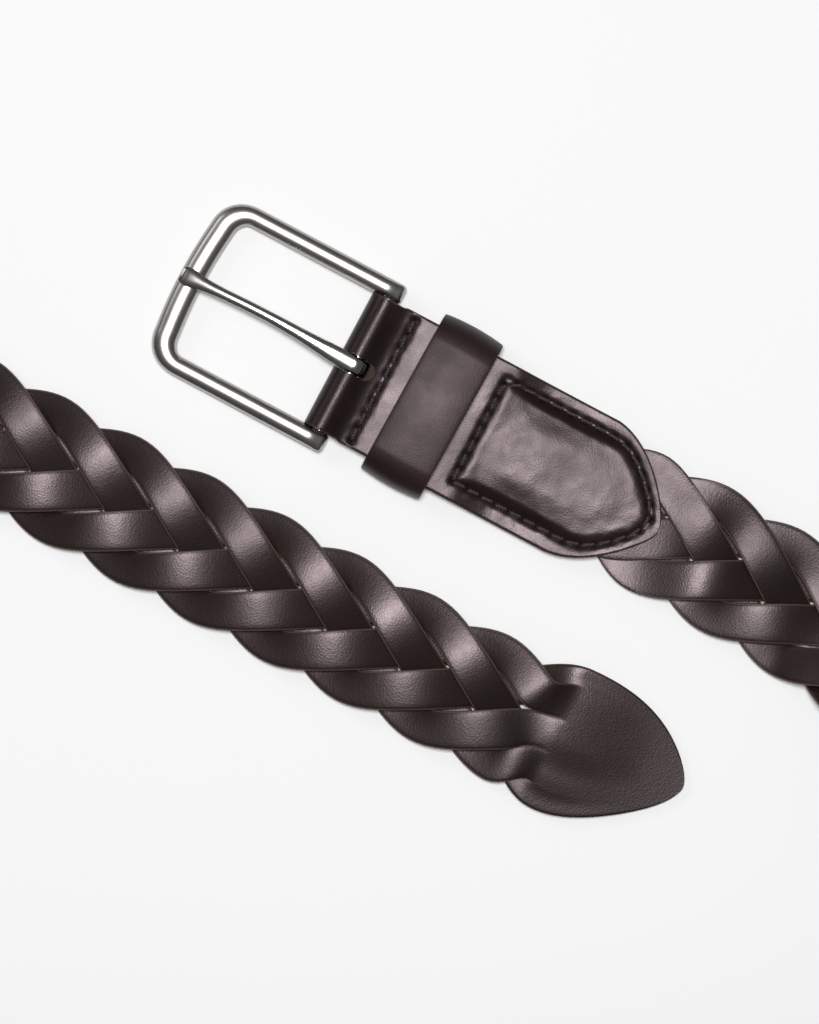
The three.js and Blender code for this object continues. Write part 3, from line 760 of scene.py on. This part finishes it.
# %% Part the strands from the tip
# A strand ends, and the tip begins, where another strand hides it, and that is at least
# SPLIT_LEAD before the last turn
SPLIT_LEAD = 6
tip_points, tip_faces, tip_edge_values = [], [], []
offset = 0
for place, (points, faces, s, share) in enumerate(strand_parts):
    swing = strand_places[place]["swing"]
    hidden = (math.floor(2 * (swing - SPLIT_LEAD / plait_length) - 0.75) + 0.75) / 2
    split = turn_place + (hidden - swing) * plait_length
    row = s[faces].mean(axis=1)
    piece = make_piece(strand_places[place]["name"] + "_leather", points, faces[row <= split],
                       strand_leather, {"edge": edge_value(share)}, sharp=60)
    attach(piece, "strap")
    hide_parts(strand_places[place]["name"])
    inner_walls = np.zeros(len(faces), dtype=bool)
    if place > 0:
        inner_walls |= share[faces].min(axis=1) > 0.97
    if place < LAST_LANE:
        inner_walls |= share[faces].max(axis=1) < -0.97
    kept = (row > split) & ~(inner_walls & (row > slit_end))
    outer = ((share > 0) & (place == 0)) | ((share < 0) & (place == LAST_LANE))
    cut = np.where(outer | (s < slit_end), edge_value(share), 0.0)
    tip_points.append(points)
    tip_faces.append(faces[kept] + offset)
    tip_edge_values.append(cut)
    offset += len(points)
tip = make_piece("tip_leather", np.vstack(tip_points), np.vstack(tip_faces), strand_leather,
                 {"edge": np.hstack(tip_edge_values)}, sharp=60, merge=2e-6)
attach(tip, "strap")
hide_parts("tip")

# %% [markdown]
# ## The chape
#
# The end of the strap is one strip: it lies under the strands, folds round the bar with a slot
# for the prong, and comes back over the strands as a padded shield with a rounded nose. It could
# be a cloth simulation of a folded strip, but its shape is held by its two seams, so it is drawn
# as a surface with a height at every point: the padding lifts it, each seam draws a groove into
# it, each needle hole a dimple, and the leather puckers a little between them.

# %% Sizes and seams of the chape
FOLD_RADIUS, FOLD_WIDTH = 4.3, 37.3
KEEPER_PLACE, KEEPER_WIDTH = 22.4, 16.7
# The chape rises over the keeper's strip below it, over so many millimetres
UNDER_RISE, LIFT = 2.2, 4.5
# The gap between its two layers, and the thin filling between them in front of the strands
LAYER_GAP, FILLING = 0.2, 0.5
STITCH_PITCH = 3.95


def even(points, step, closed=False):
    """Walks a line of points in even steps, on a smooth curve through them."""
    points = np.asarray(points, dtype=float)
    if closed:
        points = np.vstack([points, points[:1]])
    knots = np.concatenate([[0], np.cumsum(np.linalg.norm(np.diff(points, axis=0), axis=1))])
    count = max(int(round(knots[-1] / step)), 2)
    at = np.linspace(0, knots[-1], count + 1)
    line = np.stack([np.interp(at, knots, column) for column in points.T], axis=-1)
    return line[:-1] if closed else line


def rounded(points, rounds=3):
    """Rounds the corners of a line by cutting them, again and again."""
    points = np.asarray(points, dtype=float)
    for _ in range(rounds):
        near = mix(points[:-1], points[1:], 0.25)
        far_side = mix(points[:-1], points[1:], 0.75)
        middle = np.stack([near, far_side], axis=1).reshape(-1, points.shape[1])
        points = np.vstack([points[:1], middle[1:-1], points[-1:]])
    return points


front_seam = even([(8.4, -17.2), (8.4, 17.2)], 0.5)
shield_nose = rounded([(66, 14.9), (70.5, 14.6), (75.5, 11.4), (80.5, 6.3), (84.3, 1.6), (84.5, -0.6),
                       (82.6, -4.6), (77.5, -9.6), (72.6, -13.4), (68, -14.3)])
shield_seam = even([(35.7, -14.2), (35.7, 14.9), *shield_nose, (35.7, -14.2)], 0.5)
seam_points = np.vstack([front_seam, shield_seam])
hole_points = np.vstack([even(line, STITCH_PITCH) for line in (front_seam, shield_seam)])
print("needle holes", len(hole_points))


# %% Distances on the plan
def nearest(points, line):
    """Distance from each point to the nearest point of a line."""
    gaps = np.linalg.norm(points[:, None, :] - line[None, :, :], axis=-1)
    return gaps.min(axis=1)


def inside(points, line):
    """True for points inside a closed line on the plan."""
    x, y = points[:, :1], points[:, 1:]
    ax, ay = line[:, 0], line[:, 1]
    bx, by = np.roll(ax, -1), np.roll(ay, -1)
    crosses = (ay > y) != (by > y)
    steep = np.where(by == ay, 1e-9, by - ay)
    return (np.sum(crosses & (x < (bx - ax) * (y - ay) / steep + ax), axis=1) % 2) == 1


shield_middle = shield_seam.mean(axis=0)
print("the shield's middle lies", nearest(shield_middle[None, :], shield_seam).round(1)[0],
      "mm from its seam, inside it:", bool(inside(shield_middle[None, :], shield_seam)[0]))


# %% Heights of the chape
def chape_under(x):
    """Height of the chape's underside over the table."""
    rise = smooth(x / (KEEPER_PLACE - KEEPER_WIDTH / 2 - LIFT))
    fall = smooth((KEEPER_PLACE + KEEPER_WIDTH / 2 + 4 * LIFT - x) / (3.6 * LIFT))
    return UNDER_RISE * np.minimum(rise, fall)


def filling_share(x):
    """From 0 in front of the shield to 1 on it."""
    return smooth((x - PAD_START + 3) / 6)


def chape_top(x, depth):
    """Height of the chape's top before it is sewn, by the two depths inside the shield's seam."""
    near_seam, soft_depth = depth
    flat = chape_under(x) + 2 * CHAPE_LEATHER + LAYER_GAP + FILLING * filling_share(x)
    pad_top = pocket_middle + pocket_half + SKIVED * CHAPE_LEATHER
    margin = mix(flat, pad_top, smooth((x - PLAIT_START + 4) / 28))
    grown = 0.5 * smooth(near_seam / 3.0) + 0.5 * smooth(soft_depth / 6)
    top = margin + (pad_top - margin) * grown
    return mix(2 * FOLD_RADIUS, top, smooth(x / (2 * FOLD_RADIUS)))


print("the chape's underside rises", round(float(chape_under(KEEPER_PLACE)), 1), "mm over the keeper")


# %% What sewing does to the leather
# Depth and half width of the sharp groove and of the soft one, and of a needle hole's dimple
GROOVES = ((0.32, 0.9), (0.12, 2.0))
DIMPLE = (0.4, 0.6)
# Heights of the padding's puff, of the puckers along the seam and of the slow waves of the hide,
# and the sizes of the last two
PUFF, PUCKER, WAVE = 0.25, 0.10, 0.12
PUCKER_SIZE, WAVE_SIZE = 2.6, 11.0


def wavy(points, size, seed):
    """Smooth noise of a size in millimetres, from about -1 to 1."""
    return np.array([noise.fractal(Vector((x / size, y / size, seed)), 1.0, 2.0, 3) for x, y in points])


def shield_depth(plan):
    """Distance to the shield's seam, and the same with the ridges between its sides blurred."""
    gaps = np.linalg.norm(plan[:, None, :] - shield_seam[None, :, :], axis=-1)
    within = inside(plan, shield_seam)
    blur = 0.35
    soft = (math.log(4 / blur) - np.log(np.exp(-blur * gaps).sum(axis=1))) / blur
    return np.where(within, gaps.min(axis=1), 0.0), np.where(within, np.maximum(soft, 0), 0.0)


def sewn_top(x, y):
    """Height of the chape's upper face, with its grooves, dimples and puckers."""
    plan = np.stack([x, y], axis=-1)
    depth = shield_depth(plan)
    seam = nearest(plan, seam_points)
    holes = nearest(plan, hole_points)
    puffed = PUFF * smooth(depth[0] / 3.0)
    groove = sum(deep * np.exp(-(seam / wide) ** 2) for deep, wide in GROOVES)
    groove += DIMPLE[0] * np.exp(-(holes / DIMPLE[1]) ** 2)
    pucker = PUCKER * wavy(plan, PUCKER_SIZE, 1.7) * np.exp(-(seam / 3.0) ** 2)
    lazy = wavy(plan, WAVE_SIZE, 5.3) * (WAVE * smooth(depth[0] / 4) + 0.03)
    return chape_top(x, depth) + puffed - groove + pucker + lazy


hole_heights = sewn_top(hole_points[:, 0], hole_points[:, 1])
print("needle holes lie", hole_heights.min().round(1), "to", hole_heights.max().round(1), "mm up")

# %% Edges of the strip
# The nose's edges, by the root of the distance to its end
NOSE_REACH = 25.5
nose_rows = np.sqrt([NOSE_REACH, 21, 16.4, 11.8, 6.7, 3.4, 1.05, 0])
nose_left = np.polyfit(nose_rows, [19, 18.9, 17.6, 14.8, 10.3, 6.3, 2.5, -1.1], 5)
nose_right = np.polyfit(nose_rows, [-19, -18.7, -17.3, -14.6, -10.5, -7.0, -4, -1.1], 5)


def chape_edges(x):
    half = mix(FOLD_WIDTH, STRAP_WIDTH, smooth((x - FOLD_RADIUS) / 1.5)) / 2
    root = np.sqrt(np.clip(CHAPE_LENGTH - x, 0, NOSE_REACH))
    in_nose = x > CHAPE_LENGTH - NOSE_REACH
    left = np.where(in_nose, np.minimum(np.polyval(nose_left, root), STRAP_WIDTH / 2), half)
    right = np.where(in_nose, np.maximum(np.polyval(nose_right, root), -STRAP_WIDTH / 2), -half)
    return left, right


print("the nose ends", round(float(nose_left[-1]), 1), "mm from the middle line")

# %% The strip, folded round the bar
# Rows crowd towards the nose's end, and columns a little towards both edges
TAIL, ROW_STEP, COLUMNS = 8, 0.5, 79
body = np.arange(0.0, CHAPE_LENGTH - TAIL, ROW_STEP)
tail = CHAPE_LENGTH - TAIL + TAIL * np.sin(np.pi / 2 * np.linspace(0, 1, 25))
stations = np.concatenate([body, tail])
turn = np.radians(np.arange(-85, -274, -6.0))
evenly = np.linspace(-1, 1, COLUMNS)
across = mix(np.sin(np.pi / 2 * evenly), evenly, 0.6)

path_x = np.concatenate([stations[::-1], FOLD_RADIUS * np.cos(turn), stations])
layer = np.concatenate([np.full(len(stations), -1), np.zeros(len(turn)), np.full(len(stations), 1)])
left, right = chape_edges(path_x)
grid_x = np.repeat(path_x, len(across))
grid_y = mix(right[:, None], left[:, None], (across[None, :] + 1) / 2).ravel()
grid_layer = np.repeat(layer, len(across))
straight = np.zeros(len(stations))
turn_grid = np.repeat(np.concatenate([straight, turn, straight]), len(across))
fold_z = FOLD_RADIUS + FOLD_RADIUS * np.sin(turn_grid)
under_z = chape_under(grid_x)
top_z = chape_top(grid_x, shield_depth(np.stack([grid_x, grid_y], axis=-1)))
is_top = grid_layer == 1
is_fold = grid_layer == 0
face_z = np.where(is_fold, fold_z, np.where(is_top, 0, under_z))
face_z[is_top] = sewn_top(grid_x[is_top], grid_y[is_top])
print("rows along the strip", len(path_x), "and columns across it", COLUMNS)

# %% Thickness of the strip
# It is as thick as the leather and its filling, and thinner where it is skived over the strands,
# but its two layers never meet
room = (top_z - under_z) / 2 - 0.08
filled = CHAPE_LEATHER + FILLING / 2 * filling_share(grid_x)
skived = mix(filled, SKIVED * CHAPE_LEATHER, smooth((grid_x - PLAIT_START + 6) / 6))
thick = np.where(is_fold, CHAPE_LEATHER, np.minimum(skived, room))
inner_radius = FOLD_RADIUS - CHAPE_LEATHER
back_x = np.where(is_fold, inner_radius * np.cos(turn_grid), grid_x)
back_z = np.where(is_top, top_z - thick, under_z + thick)
back_z = np.where(is_fold, FOLD_RADIUS + inner_radius * np.sin(turn_grid), back_z)

# The cut edges are rounded off over half a millimetre
edge_gap = np.minimum(grid_y - np.repeat(right, len(across)), np.repeat(left, len(across)) - grid_y)
ROUNDING = 0.55
worn_edge = ROUNDING * (1 - np.sqrt(1 - np.clip(1 - edge_gap / ROUNDING, 0, 1) ** 2))
sign = np.where(is_top, -1, 1)
face_z = np.where(is_fold, face_z, face_z + sign * worn_edge)
face_x = np.where(is_fold, grid_x * (1 - worn_edge / FOLD_RADIUS / 2), grid_x)
edge_share = np.exp(-(edge_gap / 0.3) ** 2)
print("thickest leather", round(float(thick.max()), 2), "mm")

# %% Close the strip's two faces into rings
rows, columns = len(path_x), len(across)
faces_out = np.stack([face_x, grid_y, face_z], axis=-1).reshape(rows, columns, 3)
faces_in = np.stack([back_x, grid_y, back_z], axis=-1).reshape(rows, columns, 3)
rings = np.concatenate([faces_out, faces_in[:, ::-1]], axis=1)
# The inner side is the raw flesh side of the hide
edge_values = np.concatenate([edge_share.reshape(rows, columns), np.ones((rows, columns))], axis=1)


def ring_faces(rows, columns, loop=False):
    """Quads between rings that each close on themselves."""
    index = np.arange(rows * columns).reshape(rows, columns)
    if loop:
        index = np.vstack([index, index[:1]])
    a, b = index[:-1], index[1:]
    return np.stack([a, np.roll(a, -1, axis=1), np.roll(b, -1, axis=1), b], axis=-1).reshape(-1, 4)


chape = make_piece("chape_leather", rings.reshape(-1, 3), ring_faces(*rings.shape[:2]), chape_leather,
                   {"edge": edge_values.ravel()}, sharp=50)

# %% The slot for the prong
# The upper layer's slot is longer, and the lower layer shows through it behind the prong's eye.
# The cutter stands out past the leather below, above and in front of the fold.
SLOT_WIDTH, SLOT_REACH, UNDER_REACH = 5.0, 5.9, 3.9
BELOW, ABOVE, IN_FRONT = -2, 12, -12
slot_radius = SLOT_WIDTH / 2
slot_turn = np.linspace(-np.pi / 2, np.pi / 2, 25)


def slot_outline(reach):
    ends = [(reach - slot_radius + slot_radius * math.cos(t), slot_radius * math.sin(t)) for t in slot_turn]
    return [(IN_FRONT, -slot_radius), *ends, (IN_FRONT, slot_radius)]


levels = ((BELOW, UNDER_REACH), (FOLD_RADIUS - 0.1, UNDER_REACH), (FOLD_RADIUS, SLOT_REACH),
          (ABOVE, SLOT_REACH))
prism = np.array([[(x, y, z) for x, y in slot_outline(reach)] for z, reach in levels])
cutter = make_piece("slot_cutter", prism.reshape(-1, 3), ring_faces(*prism.shape[:2]), chape_leather)
cut_modifier = chape.modifiers.new("slot", "BOOLEAN")
cut_modifier.operation = "DIFFERENCE"
cut_modifier.solver = "MANIFOLD"
cut_modifier.object = cutter
slotted = bpy.data.meshes.new_from_object(chape.evaluated_get(bpy.context.evaluated_depsgraph_get()))
chape.modifiers.clear()
chape.data = slotted
chape.data.set_sharp_from_angle(angle=math.radians(50))
bpy.data.objects.remove(cutter)
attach(chape, "strap")
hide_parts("chape")
print("chape", len(chape.data.polygons), "faces")

# %% [markdown]
# ## Stitches
#
# The belt is sewn with long saddle stitches: each one is a short length of two-ply thread that
# comes out of one needle hole and dives into the next, sunk in the groove that its own pull
# makes. Placing dozens of them by hand would be slow and a texture would be flat, so Geometry
# Nodes walk a seam in even steps and set a stitch at each one, turned along the seam.

# %% Geometry Nodes tree of a seam
STITCH_LENGTH, PLY_RADIUS, PLY_OFFSET, DIVE = 3.15, 0.31, 0.22, 0.9
seam_inputs = {"Pitch": STITCH_PITCH / 1000, "Stitch length": STITCH_LENGTH / 1000,
               "Ply radius": PLY_RADIUS / 1000, "Ply offset": PLY_OFFSET / 1000, "Turns": 1.6,
               "Dive": DIVE / 1000}
seam_tree = bpy.data.node_groups.new("saddle stitches", "GeometryNodeTree")
seam_tree.interface.new_socket("Seam", in_out="INPUT", socket_type="NodeSocketGeometry")
for name, value in seam_inputs.items():
    socket = seam_tree.interface.new_socket(name, in_out="INPUT", socket_type="NodeSocketFloat")
    socket.default_value = value
seam_tree.interface.new_socket("Thread", in_out="INPUT", socket_type="NodeSocketMaterial")
seam_tree.interface.new_socket("Geometry", in_out="OUTPUT", socket_type="NodeSocketGeometry")
given = add(seam_tree, "NodeGroupInput")

# One ply is a helix along X that dives at both ends, and the second ply is half a turn on
plies = []
for half_turn in (0.0, math.pi):
    line = add(seam_tree, "GeometryNodeCurvePrimitiveLine", links={
        "Start": (-0.5, 0, 0), "End": (0.5, 0, 0)})
    fine = add(seam_tree, "GeometryNodeResampleCurve", links={"Curve": line, "Count": 15})
    spot = add(seam_tree, "ShaderNodeSeparateXYZ", links={
        0: add(seam_tree, "GeometryNodeInputPosition")})
    ply_steps = [
        ("twists", "MULTIPLY", "Turns", 2 * math.pi),
        ("angle", "MULTIPLY_ADD", "x", "twists", half_turn),
        ("cosine", "COSINE", "angle"),
        ("sine", "SINE", "angle"),
        ("along", "MULTIPLY", "x", "Stitch length"),
        ("side", "MULTIPLY", "cosine", "Ply offset"),
        ("double", "MULTIPLY", "x", 2.0),
        ("squared", "MULTIPLY", "double", "double"),
        ("fourth", "MULTIPLY", "squared", "squared"),
        ("dived", "MULTIPLY", "fourth", "Dive"),
        ("up", "MULTIPLY", "sine", "Ply offset"),
        ("height", "SUBTRACT", "up", "dived"),
    ]
    made = {name: given.outputs[name] for name in seam_inputs}
    made["x"] = spot.outputs[0]
    made = work_out(seam_tree, ply_steps, made)
    place = add(seam_tree, "ShaderNodeCombineXYZ", links={
        0: made["along"], 1: made["side"], 2: made["height"]})
    shaped = add(seam_tree, "GeometryNodeSetPosition", links={"Geometry": fine, "Position": place})
    section = add(seam_tree, "GeometryNodeCurvePrimitiveCircle", links={
        "Resolution": 7, "Radius": given.outputs["Ply radius"]})
    plies.append(add(seam_tree, "GeometryNodeCurveToMesh", links={
        "Curve": shaped, "Profile Curve": section, "Fill Caps": True}))
print("plies", len(plies))

# %% A stitch at each step of the seam
stitch = add(seam_tree, "GeometryNodeJoinGeometry")
for ply in plies:
    seam_tree.links.new(ply.outputs[0], stitch.inputs[0])
steps = add(seam_tree, "GeometryNodeResampleCurve", {"mode": "LENGTH"}, {
    "Curve": given.outputs["Seam"], "Length": given.outputs["Pitch"]})
along = add(seam_tree, "FunctionNodeAlignRotationToVector", {"axis": "X", "pivot_axis": "Z"}, {
    "Vector": add(seam_tree, "GeometryNodeInputTangent")})
placed = add(seam_tree, "GeometryNodeInstanceOnPoints", links={
    "Points": steps, "Instance": stitch, "Rotation": along})
realized = add(seam_tree, "GeometryNodeRealizeInstances", links={"Geometry": placed})
dressed = add(seam_tree, "GeometryNodeSetMaterial", links={
    "Geometry": realized, "Material": given.outputs["Thread"]})
add(seam_tree, "NodeGroupOutput", links={0: dressed})
print("seam tree with", len(seam_tree.nodes), "nodes")

# %% Sew both seams
THREAD_LIFT = 0.3


def seam_curve(name, line):
    """A curve along the seam, half a stitch on, so that stitches lie between the needle holes."""
    between = even(line, STITCH_PITCH)
    middles = (between[:-1] + between[1:]) / 2
    height = sewn_top(middles[:, 0], middles[:, 1]) + THREAD_LIFT
    curve = bpy.data.curves.new(name, "CURVE")
    curve.dimensions = "3D"
    spline = curve.splines.new("POLY")
    spline.points.add(len(middles) - 1)
    for point, place in zip(spline.points, to_room(np.column_stack([middles, height]))):
        point.co = (*place, 1)
    return curve


for name, line in (("front_seam_thread", front_seam), ("shield_seam_thread", shield_seam)):
    mesh = grow(name, seam_tree, {**seam_inputs, "Thread": thread}, seam_curve(name, line))
    mesh.shade_smooth()
    piece = bpy.data.objects.new(name, mesh)
    scene.collection.objects.link(piece)
    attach(piece, "strap")
    print(name, len(mesh.polygons), "faces")

# %% Needle holes
# Each is a dark button sunk in its dimple, painted shade for the shade inside the hole, of rings
# with a radius and a height over the leather
HOLE_RINGS = ((0.7, -0.5), (0.78, 0.12), (0.6, 0.22), (0.3, 0.22))
HOLE_POINTS = 10
hole_rings = []
hole_turn = np.linspace(0, 2 * np.pi, HOLE_POINTS + 1)[:-1]
for (x, y), z in zip(hole_points, hole_heights):
    for radius, height in HOLE_RINGS:
        hole_rings.append([(x + radius * math.cos(t), y + radius * math.sin(t), z + height)
                           for t in hole_turn])
hole_rings = np.array(hole_rings)
one_hole = ring_faces(len(HOLE_RINGS), HOLE_POINTS)
hole_faces = [one_hole + number * len(HOLE_RINGS) * HOLE_POINTS for number in range(len(hole_points))]
holes = make_piece("needle_hole_shades", hole_rings.reshape(-1, 3), np.vstack(hole_faces), needle_hole_shade)
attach(holes, "strap")

# %% [markdown]
# ## Keeper
#
# The keeper is a strip of less waxed leather bent into a closed band, joined underneath. It
# stands arched over the chape, because the belt's free end has to pass through it. Its cut edges
# are raw and a little paler. The strip could be bent by a curve modifier, but a band of rings
# keeps its edges clean at the tight corners.

# %% Band of the keeper
KEEPER_SPAN, KEEPER_LEATHER, KEEPER_CORNER, KEEPER_ROOM, KEEPER_LEAN = 45.6, 1.9, 3.6, 4.5, 1.0
keeper_high = (KEEPER_LEATHER + CLEARANCE + 2 * CHAPE_LEATHER + LAYER_GAP + KEEPER_ROOM
               + KEEPER_LEATHER)


def bow(start, pull, end, count=16):
    """Points of a curve from a start to an end, pulled towards a third point between them."""
    t = np.linspace(0, 1, count)[:-1, None]
    start, pull, end = (np.array(p, dtype=float) for p in (start, pull, end))
    return (1 - t) ** 2 * start + 2 * t * (1 - t) * pull + t ** 2 * end


half, corner, high = KEEPER_SPAN / 2, KEEPER_CORNER, keeper_high
band = np.vstack([
    bow((-half + corner, 0), (0, 0), (half - corner, 0), 30),
    bow((half - corner, 0), (half, 0), (half, corner)),
    bow((half, corner), (half, high - corner / 2), (half - 2 * corner, high - corner / 8)),
    bow((half - 2 * corner, high - corner / 8), (0, high + corner / 6),
        (-half + 2 * corner, high - corner / 8), 30),
    bow((-half + 2 * corner, high - corner / 8), (-half, high - corner / 2), (-half, corner)),
    bow((-half, corner), (-half, 0), (-half + corner, 0)),
])
band = even(band, 0.55, closed=True)
before, after = np.roll(band, 1, axis=0), np.roll(band, -1, axis=0)
run = (after - before) / np.linalg.norm(after - before, axis=1)[:, None]
inward = np.stack([-run[:, 1], run[:, 0]], axis=-1)
print("points round the keeper", len(band))

# %% Section of the keeper
# The strip's outer face is a little higher at its middle, and its corners are tight
RING, DOMING, TIGHTNESS = 44, 0.6, 16
ring_turn = np.arange(RING) / RING * 2 * np.pi
wide = np.cos(ring_turn)
deep = np.sign(np.round(np.sin(ring_turn), 6)) * (1 - np.abs(wide) ** TIGHTNESS) ** (1 / TIGHTNESS)
rings = np.empty((len(band), RING, 3))
rings[:, :, 0] = wide * KEEPER_WIDTH / 2
dished = KEEPER_LEATHER / 2 * (1 - deep) + DOMING * wide ** 2
for axis in (0, 1):
    rings[:, :, axis + 1] = band[:, axis, None] + inward[:, axis, None] * dished
lean = math.radians(-KEEPER_LEAN)
x, y = rings[..., 0].copy(), rings[..., 1].copy()
rings[..., 0] = x * math.cos(lean) - y * math.sin(lean) + KEEPER_PLACE
rings[..., 1] = x * math.sin(lean) + y * math.cos(lean)
raw = np.tile(smooth((np.abs(wide) - 0.985) / 0.01), (len(band), 1))
keeper = make_piece("keeper_band", rings.reshape(-1, 3), ring_faces(len(band), RING, loop=True),
                    keeper_leather, {"edge": raw.ravel()}, sharp=50)
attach(keeper, "strap")
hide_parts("keeper")

# %% [markdown]
# ## Buckle frame
#
# The frame is cast as one thick wire in a U, with its bar across the open ends. The arms end in
# rounded noses just past the bar. It could be a curve with a bevel, but its section changes from
# the arms to the rail, so it is made as rings of an almost round section along the bent line, and
# the light runs along it in unbroken bands.

# %% Frame of the buckle
FRAME_WIDTH, FRAME_REACH, FRAME_CORNER, FRAME_BOW = 47.4, 49.7, 9.5, 0.9
RAIL_WIDTH, RAIL_HEIGHT, ARM_WIDTH, ARM_HEIGHT, ARM_PAST = 6.5, 5.0, 5.1, 4.5, 2.9
BAR_RADIUS, BAR_HEIGHT = 2.0, FOLD_RADIUS


def squared_ring(count, power):
    """Points round a section, from a circle at power 2 towards a square at higher powers."""
    t = (np.arange(count) + 0.5) / count * 2 * np.pi
    size = (np.abs(np.cos(t)) ** power + np.abs(np.sin(t)) ** power) ** (-1 / power)
    return np.cos(t) * size, np.sin(t) * size


arm_y = (FRAME_WIDTH - ARM_WIDTH) / 2
rail_x = -FRAME_REACH + RAIL_WIDTH / 2
bend_radius = FRAME_CORNER - RAIL_WIDTH / 2
corner_x = rail_x + bend_radius + FRAME_BOW
corner_y = arm_y - bend_radius
half_line = [(x, arm_y) for x in np.linspace(ARM_PAST, corner_x, 60)[:-1]]
half_line += [(corner_x + bend_radius * math.cos(t), corner_y + bend_radius * math.sin(t))
              for t in np.linspace(np.pi / 2, np.pi, 26)[:-1]]
half_line += [(corner_x - bend_radius - FRAME_BOW * (1 - (y / corner_y) ** 2), y)
              for y in np.linspace(corner_y, 0, 30)]
half_line = np.array(half_line)
line = even(np.vstack([half_line, (half_line * (1, -1))[::-1][1:]]), 0.6)
print("rings of the frame", len(line))

# %% Section of the frame along its line
FRAME_POINTS, NOSE_TAPER, NOSE_SLOPE = 36, 1.1, 5.0
run = np.gradient(line, axis=0)
run /= np.linalg.norm(run, axis=1)[:, None]
near_rail = smooth((corner_x - line[:, 0]) / (corner_x - rail_x))
# The noses: the arm rounds off over its last millimetres, and its upper face slopes down to them
from_nose = ARM_PAST - line[:, 0]
nose = np.sqrt(np.clip(1 - np.clip(1 - (from_nose + 0.05) / NOSE_TAPER, 0, 1) ** 2.2, 0, 1))
bevel = 1 - 0.35 * smooth(1 - from_nose / NOSE_SLOPE)
wide = mix(ARM_WIDTH, RAIL_WIDTH, near_rail) * mix(nose, 1, 0.55)
tall = mix(ARM_HEIGHT, RAIL_HEIGHT, near_rail) * nose * bevel
height = mix(BAR_HEIGHT, RAIL_HEIGHT / 2, np.clip(-line[:, 0] / (FRAME_REACH - RAIL_WIDTH), 0, 1))
height -= 1 - bevel
ring_out, ring_up = squared_ring(FRAME_POINTS, 2.25)
rings = np.stack([
    line[:, 0, None] - run[:, 1, None] * ring_out * wide[:, None] / 2,
    line[:, 1, None] + run[:, 0, None] * ring_out * wide[:, None] / 2,
    height[:, None] + ring_up * tall[:, None] / 2], axis=-1)
print("frame stands", round(float(height.max() + tall.max() / 2), 1), "mm high")


# %% Bar of the frame
def make_runs(name, runs, material):
    """Makes one piece from runs of rings, each given with whether it closes on itself."""
    points, faces, count = [], [], 0
    for rings, loop in runs:
        points.append(rings.reshape(-1, 3))
        faces.append(ring_faces(*rings.shape[:2], loop=loop) + count)
        count += rings.size // 3
    return make_piece(name, np.vstack(points), np.vstack(faces), material)


# The bar's ends stay inside the arms
BAR_POINTS, BAR_ROWS = 32, 9
bar_reach = arm_y - ARM_WIDTH / 2 + 0.15
bar_turn = np.arange(BAR_POINTS) / BAR_POINTS * 2 * np.pi
bar = np.array([[(BAR_RADIUS * math.cos(t), y, BAR_HEIGHT + BAR_RADIUS * math.sin(t)) for t in bar_turn]
                for y in np.linspace(-bar_reach, bar_reach, BAR_ROWS)])
frame_piece = make_runs("buckle_wire", [(rings, False), (bar, False)], satin_nickel)
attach(frame_piece, "frame")
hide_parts("buckle_frame")

# %% [markdown]
# ## Prong
#
# The prong is flat wire rolled into an eye round the bar. It runs to the rail with a slight sway,
# widens where it is pressed flat at its end, and rests there. Its width and thickness follow no
# rule, so they are read at shares of its length and smoothed.

# %% Pin and eye of the prong
PRONG_REACH, PRONG_WIDTH, PRONG_EYE_WIDTH, PRONG_THICKNESS, PRONG_SWAY = 49.1, 3.3, 4.2, 2.0, 0.6
PIN_ROWS, PIN_POINTS, EYE_ROWS = 110, 32, 72
shares = [0.0, 0.06, 0.12, 0.2, 0.32, 0.5, 0.75, 0.86, 0.92, 0.96, 0.985, 1.0]
wide_at = [1.42, 1.42, 1.4, 1.2, 1.0, 0.88, 0.88, 1.0, 1.3, 1.52, 1.48, 1.2]
thick_at = [0.9, 1.0, 1.1, 1.15, 1.2, 1.2, 1.12, 1.0, 0.92, 0.86, 0.74, 0.5]
share = 1 - np.linspace(1, 0, PIN_ROWS) ** 1.15
wide = np.interp(share, shares, wide_at) * PRONG_WIDTH
thick = np.interp(share, shares, thick_at) * PRONG_THICKNESS
ease = np.ones(9) / 9
wide[4:-4] = np.convolve(wide, ease, "valid")
thick[4:-4] = np.convolve(thick, ease, "valid")
eye_radius = BAR_RADIUS + CLEARANCE + PRONG_THICKNESS * 0.9
start_z = BAR_HEIGHT + eye_radius - PRONG_THICKNESS * 0.45
end_z = RAIL_HEIGHT + CLEARANCE + PRONG_THICKNESS * 0.45
pin_z = mix(start_z, end_z, share) + 0.5 * np.sin(np.pi * share)
pin_y = PRONG_SWAY * np.sin(np.pi * share) ** 2
ring_out, ring_up = squared_ring(PIN_POINTS, 2.4)
pin = np.stack([
    np.repeat(-share[:, None] * PRONG_REACH, PIN_POINTS, axis=1),
    pin_y[:, None] + ring_out * wide[:, None] / 2,
    pin_z[:, None] + ring_up * thick[:, None] / 2], axis=-1)
eye_turn = np.arange(EYE_ROWS) / EYE_ROWS * 2 * np.pi
eye_wall = (eye_radius - BAR_RADIUS - CLEARANCE) / 2
eye_middle = eye_radius - eye_wall
eye = np.array([[((eye_middle + u * eye_wall) * math.cos(t), v * PRONG_EYE_WIDTH / 2,
                  BAR_HEIGHT + (eye_middle + u * eye_wall) * math.sin(t))
                 for u, v in zip(ring_out, ring_up)] for t in eye_turn])
prong = make_runs("prong_pin", [(pin, False), (eye, True)], polished_nickel)
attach(prong, "prong")
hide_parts("prong")
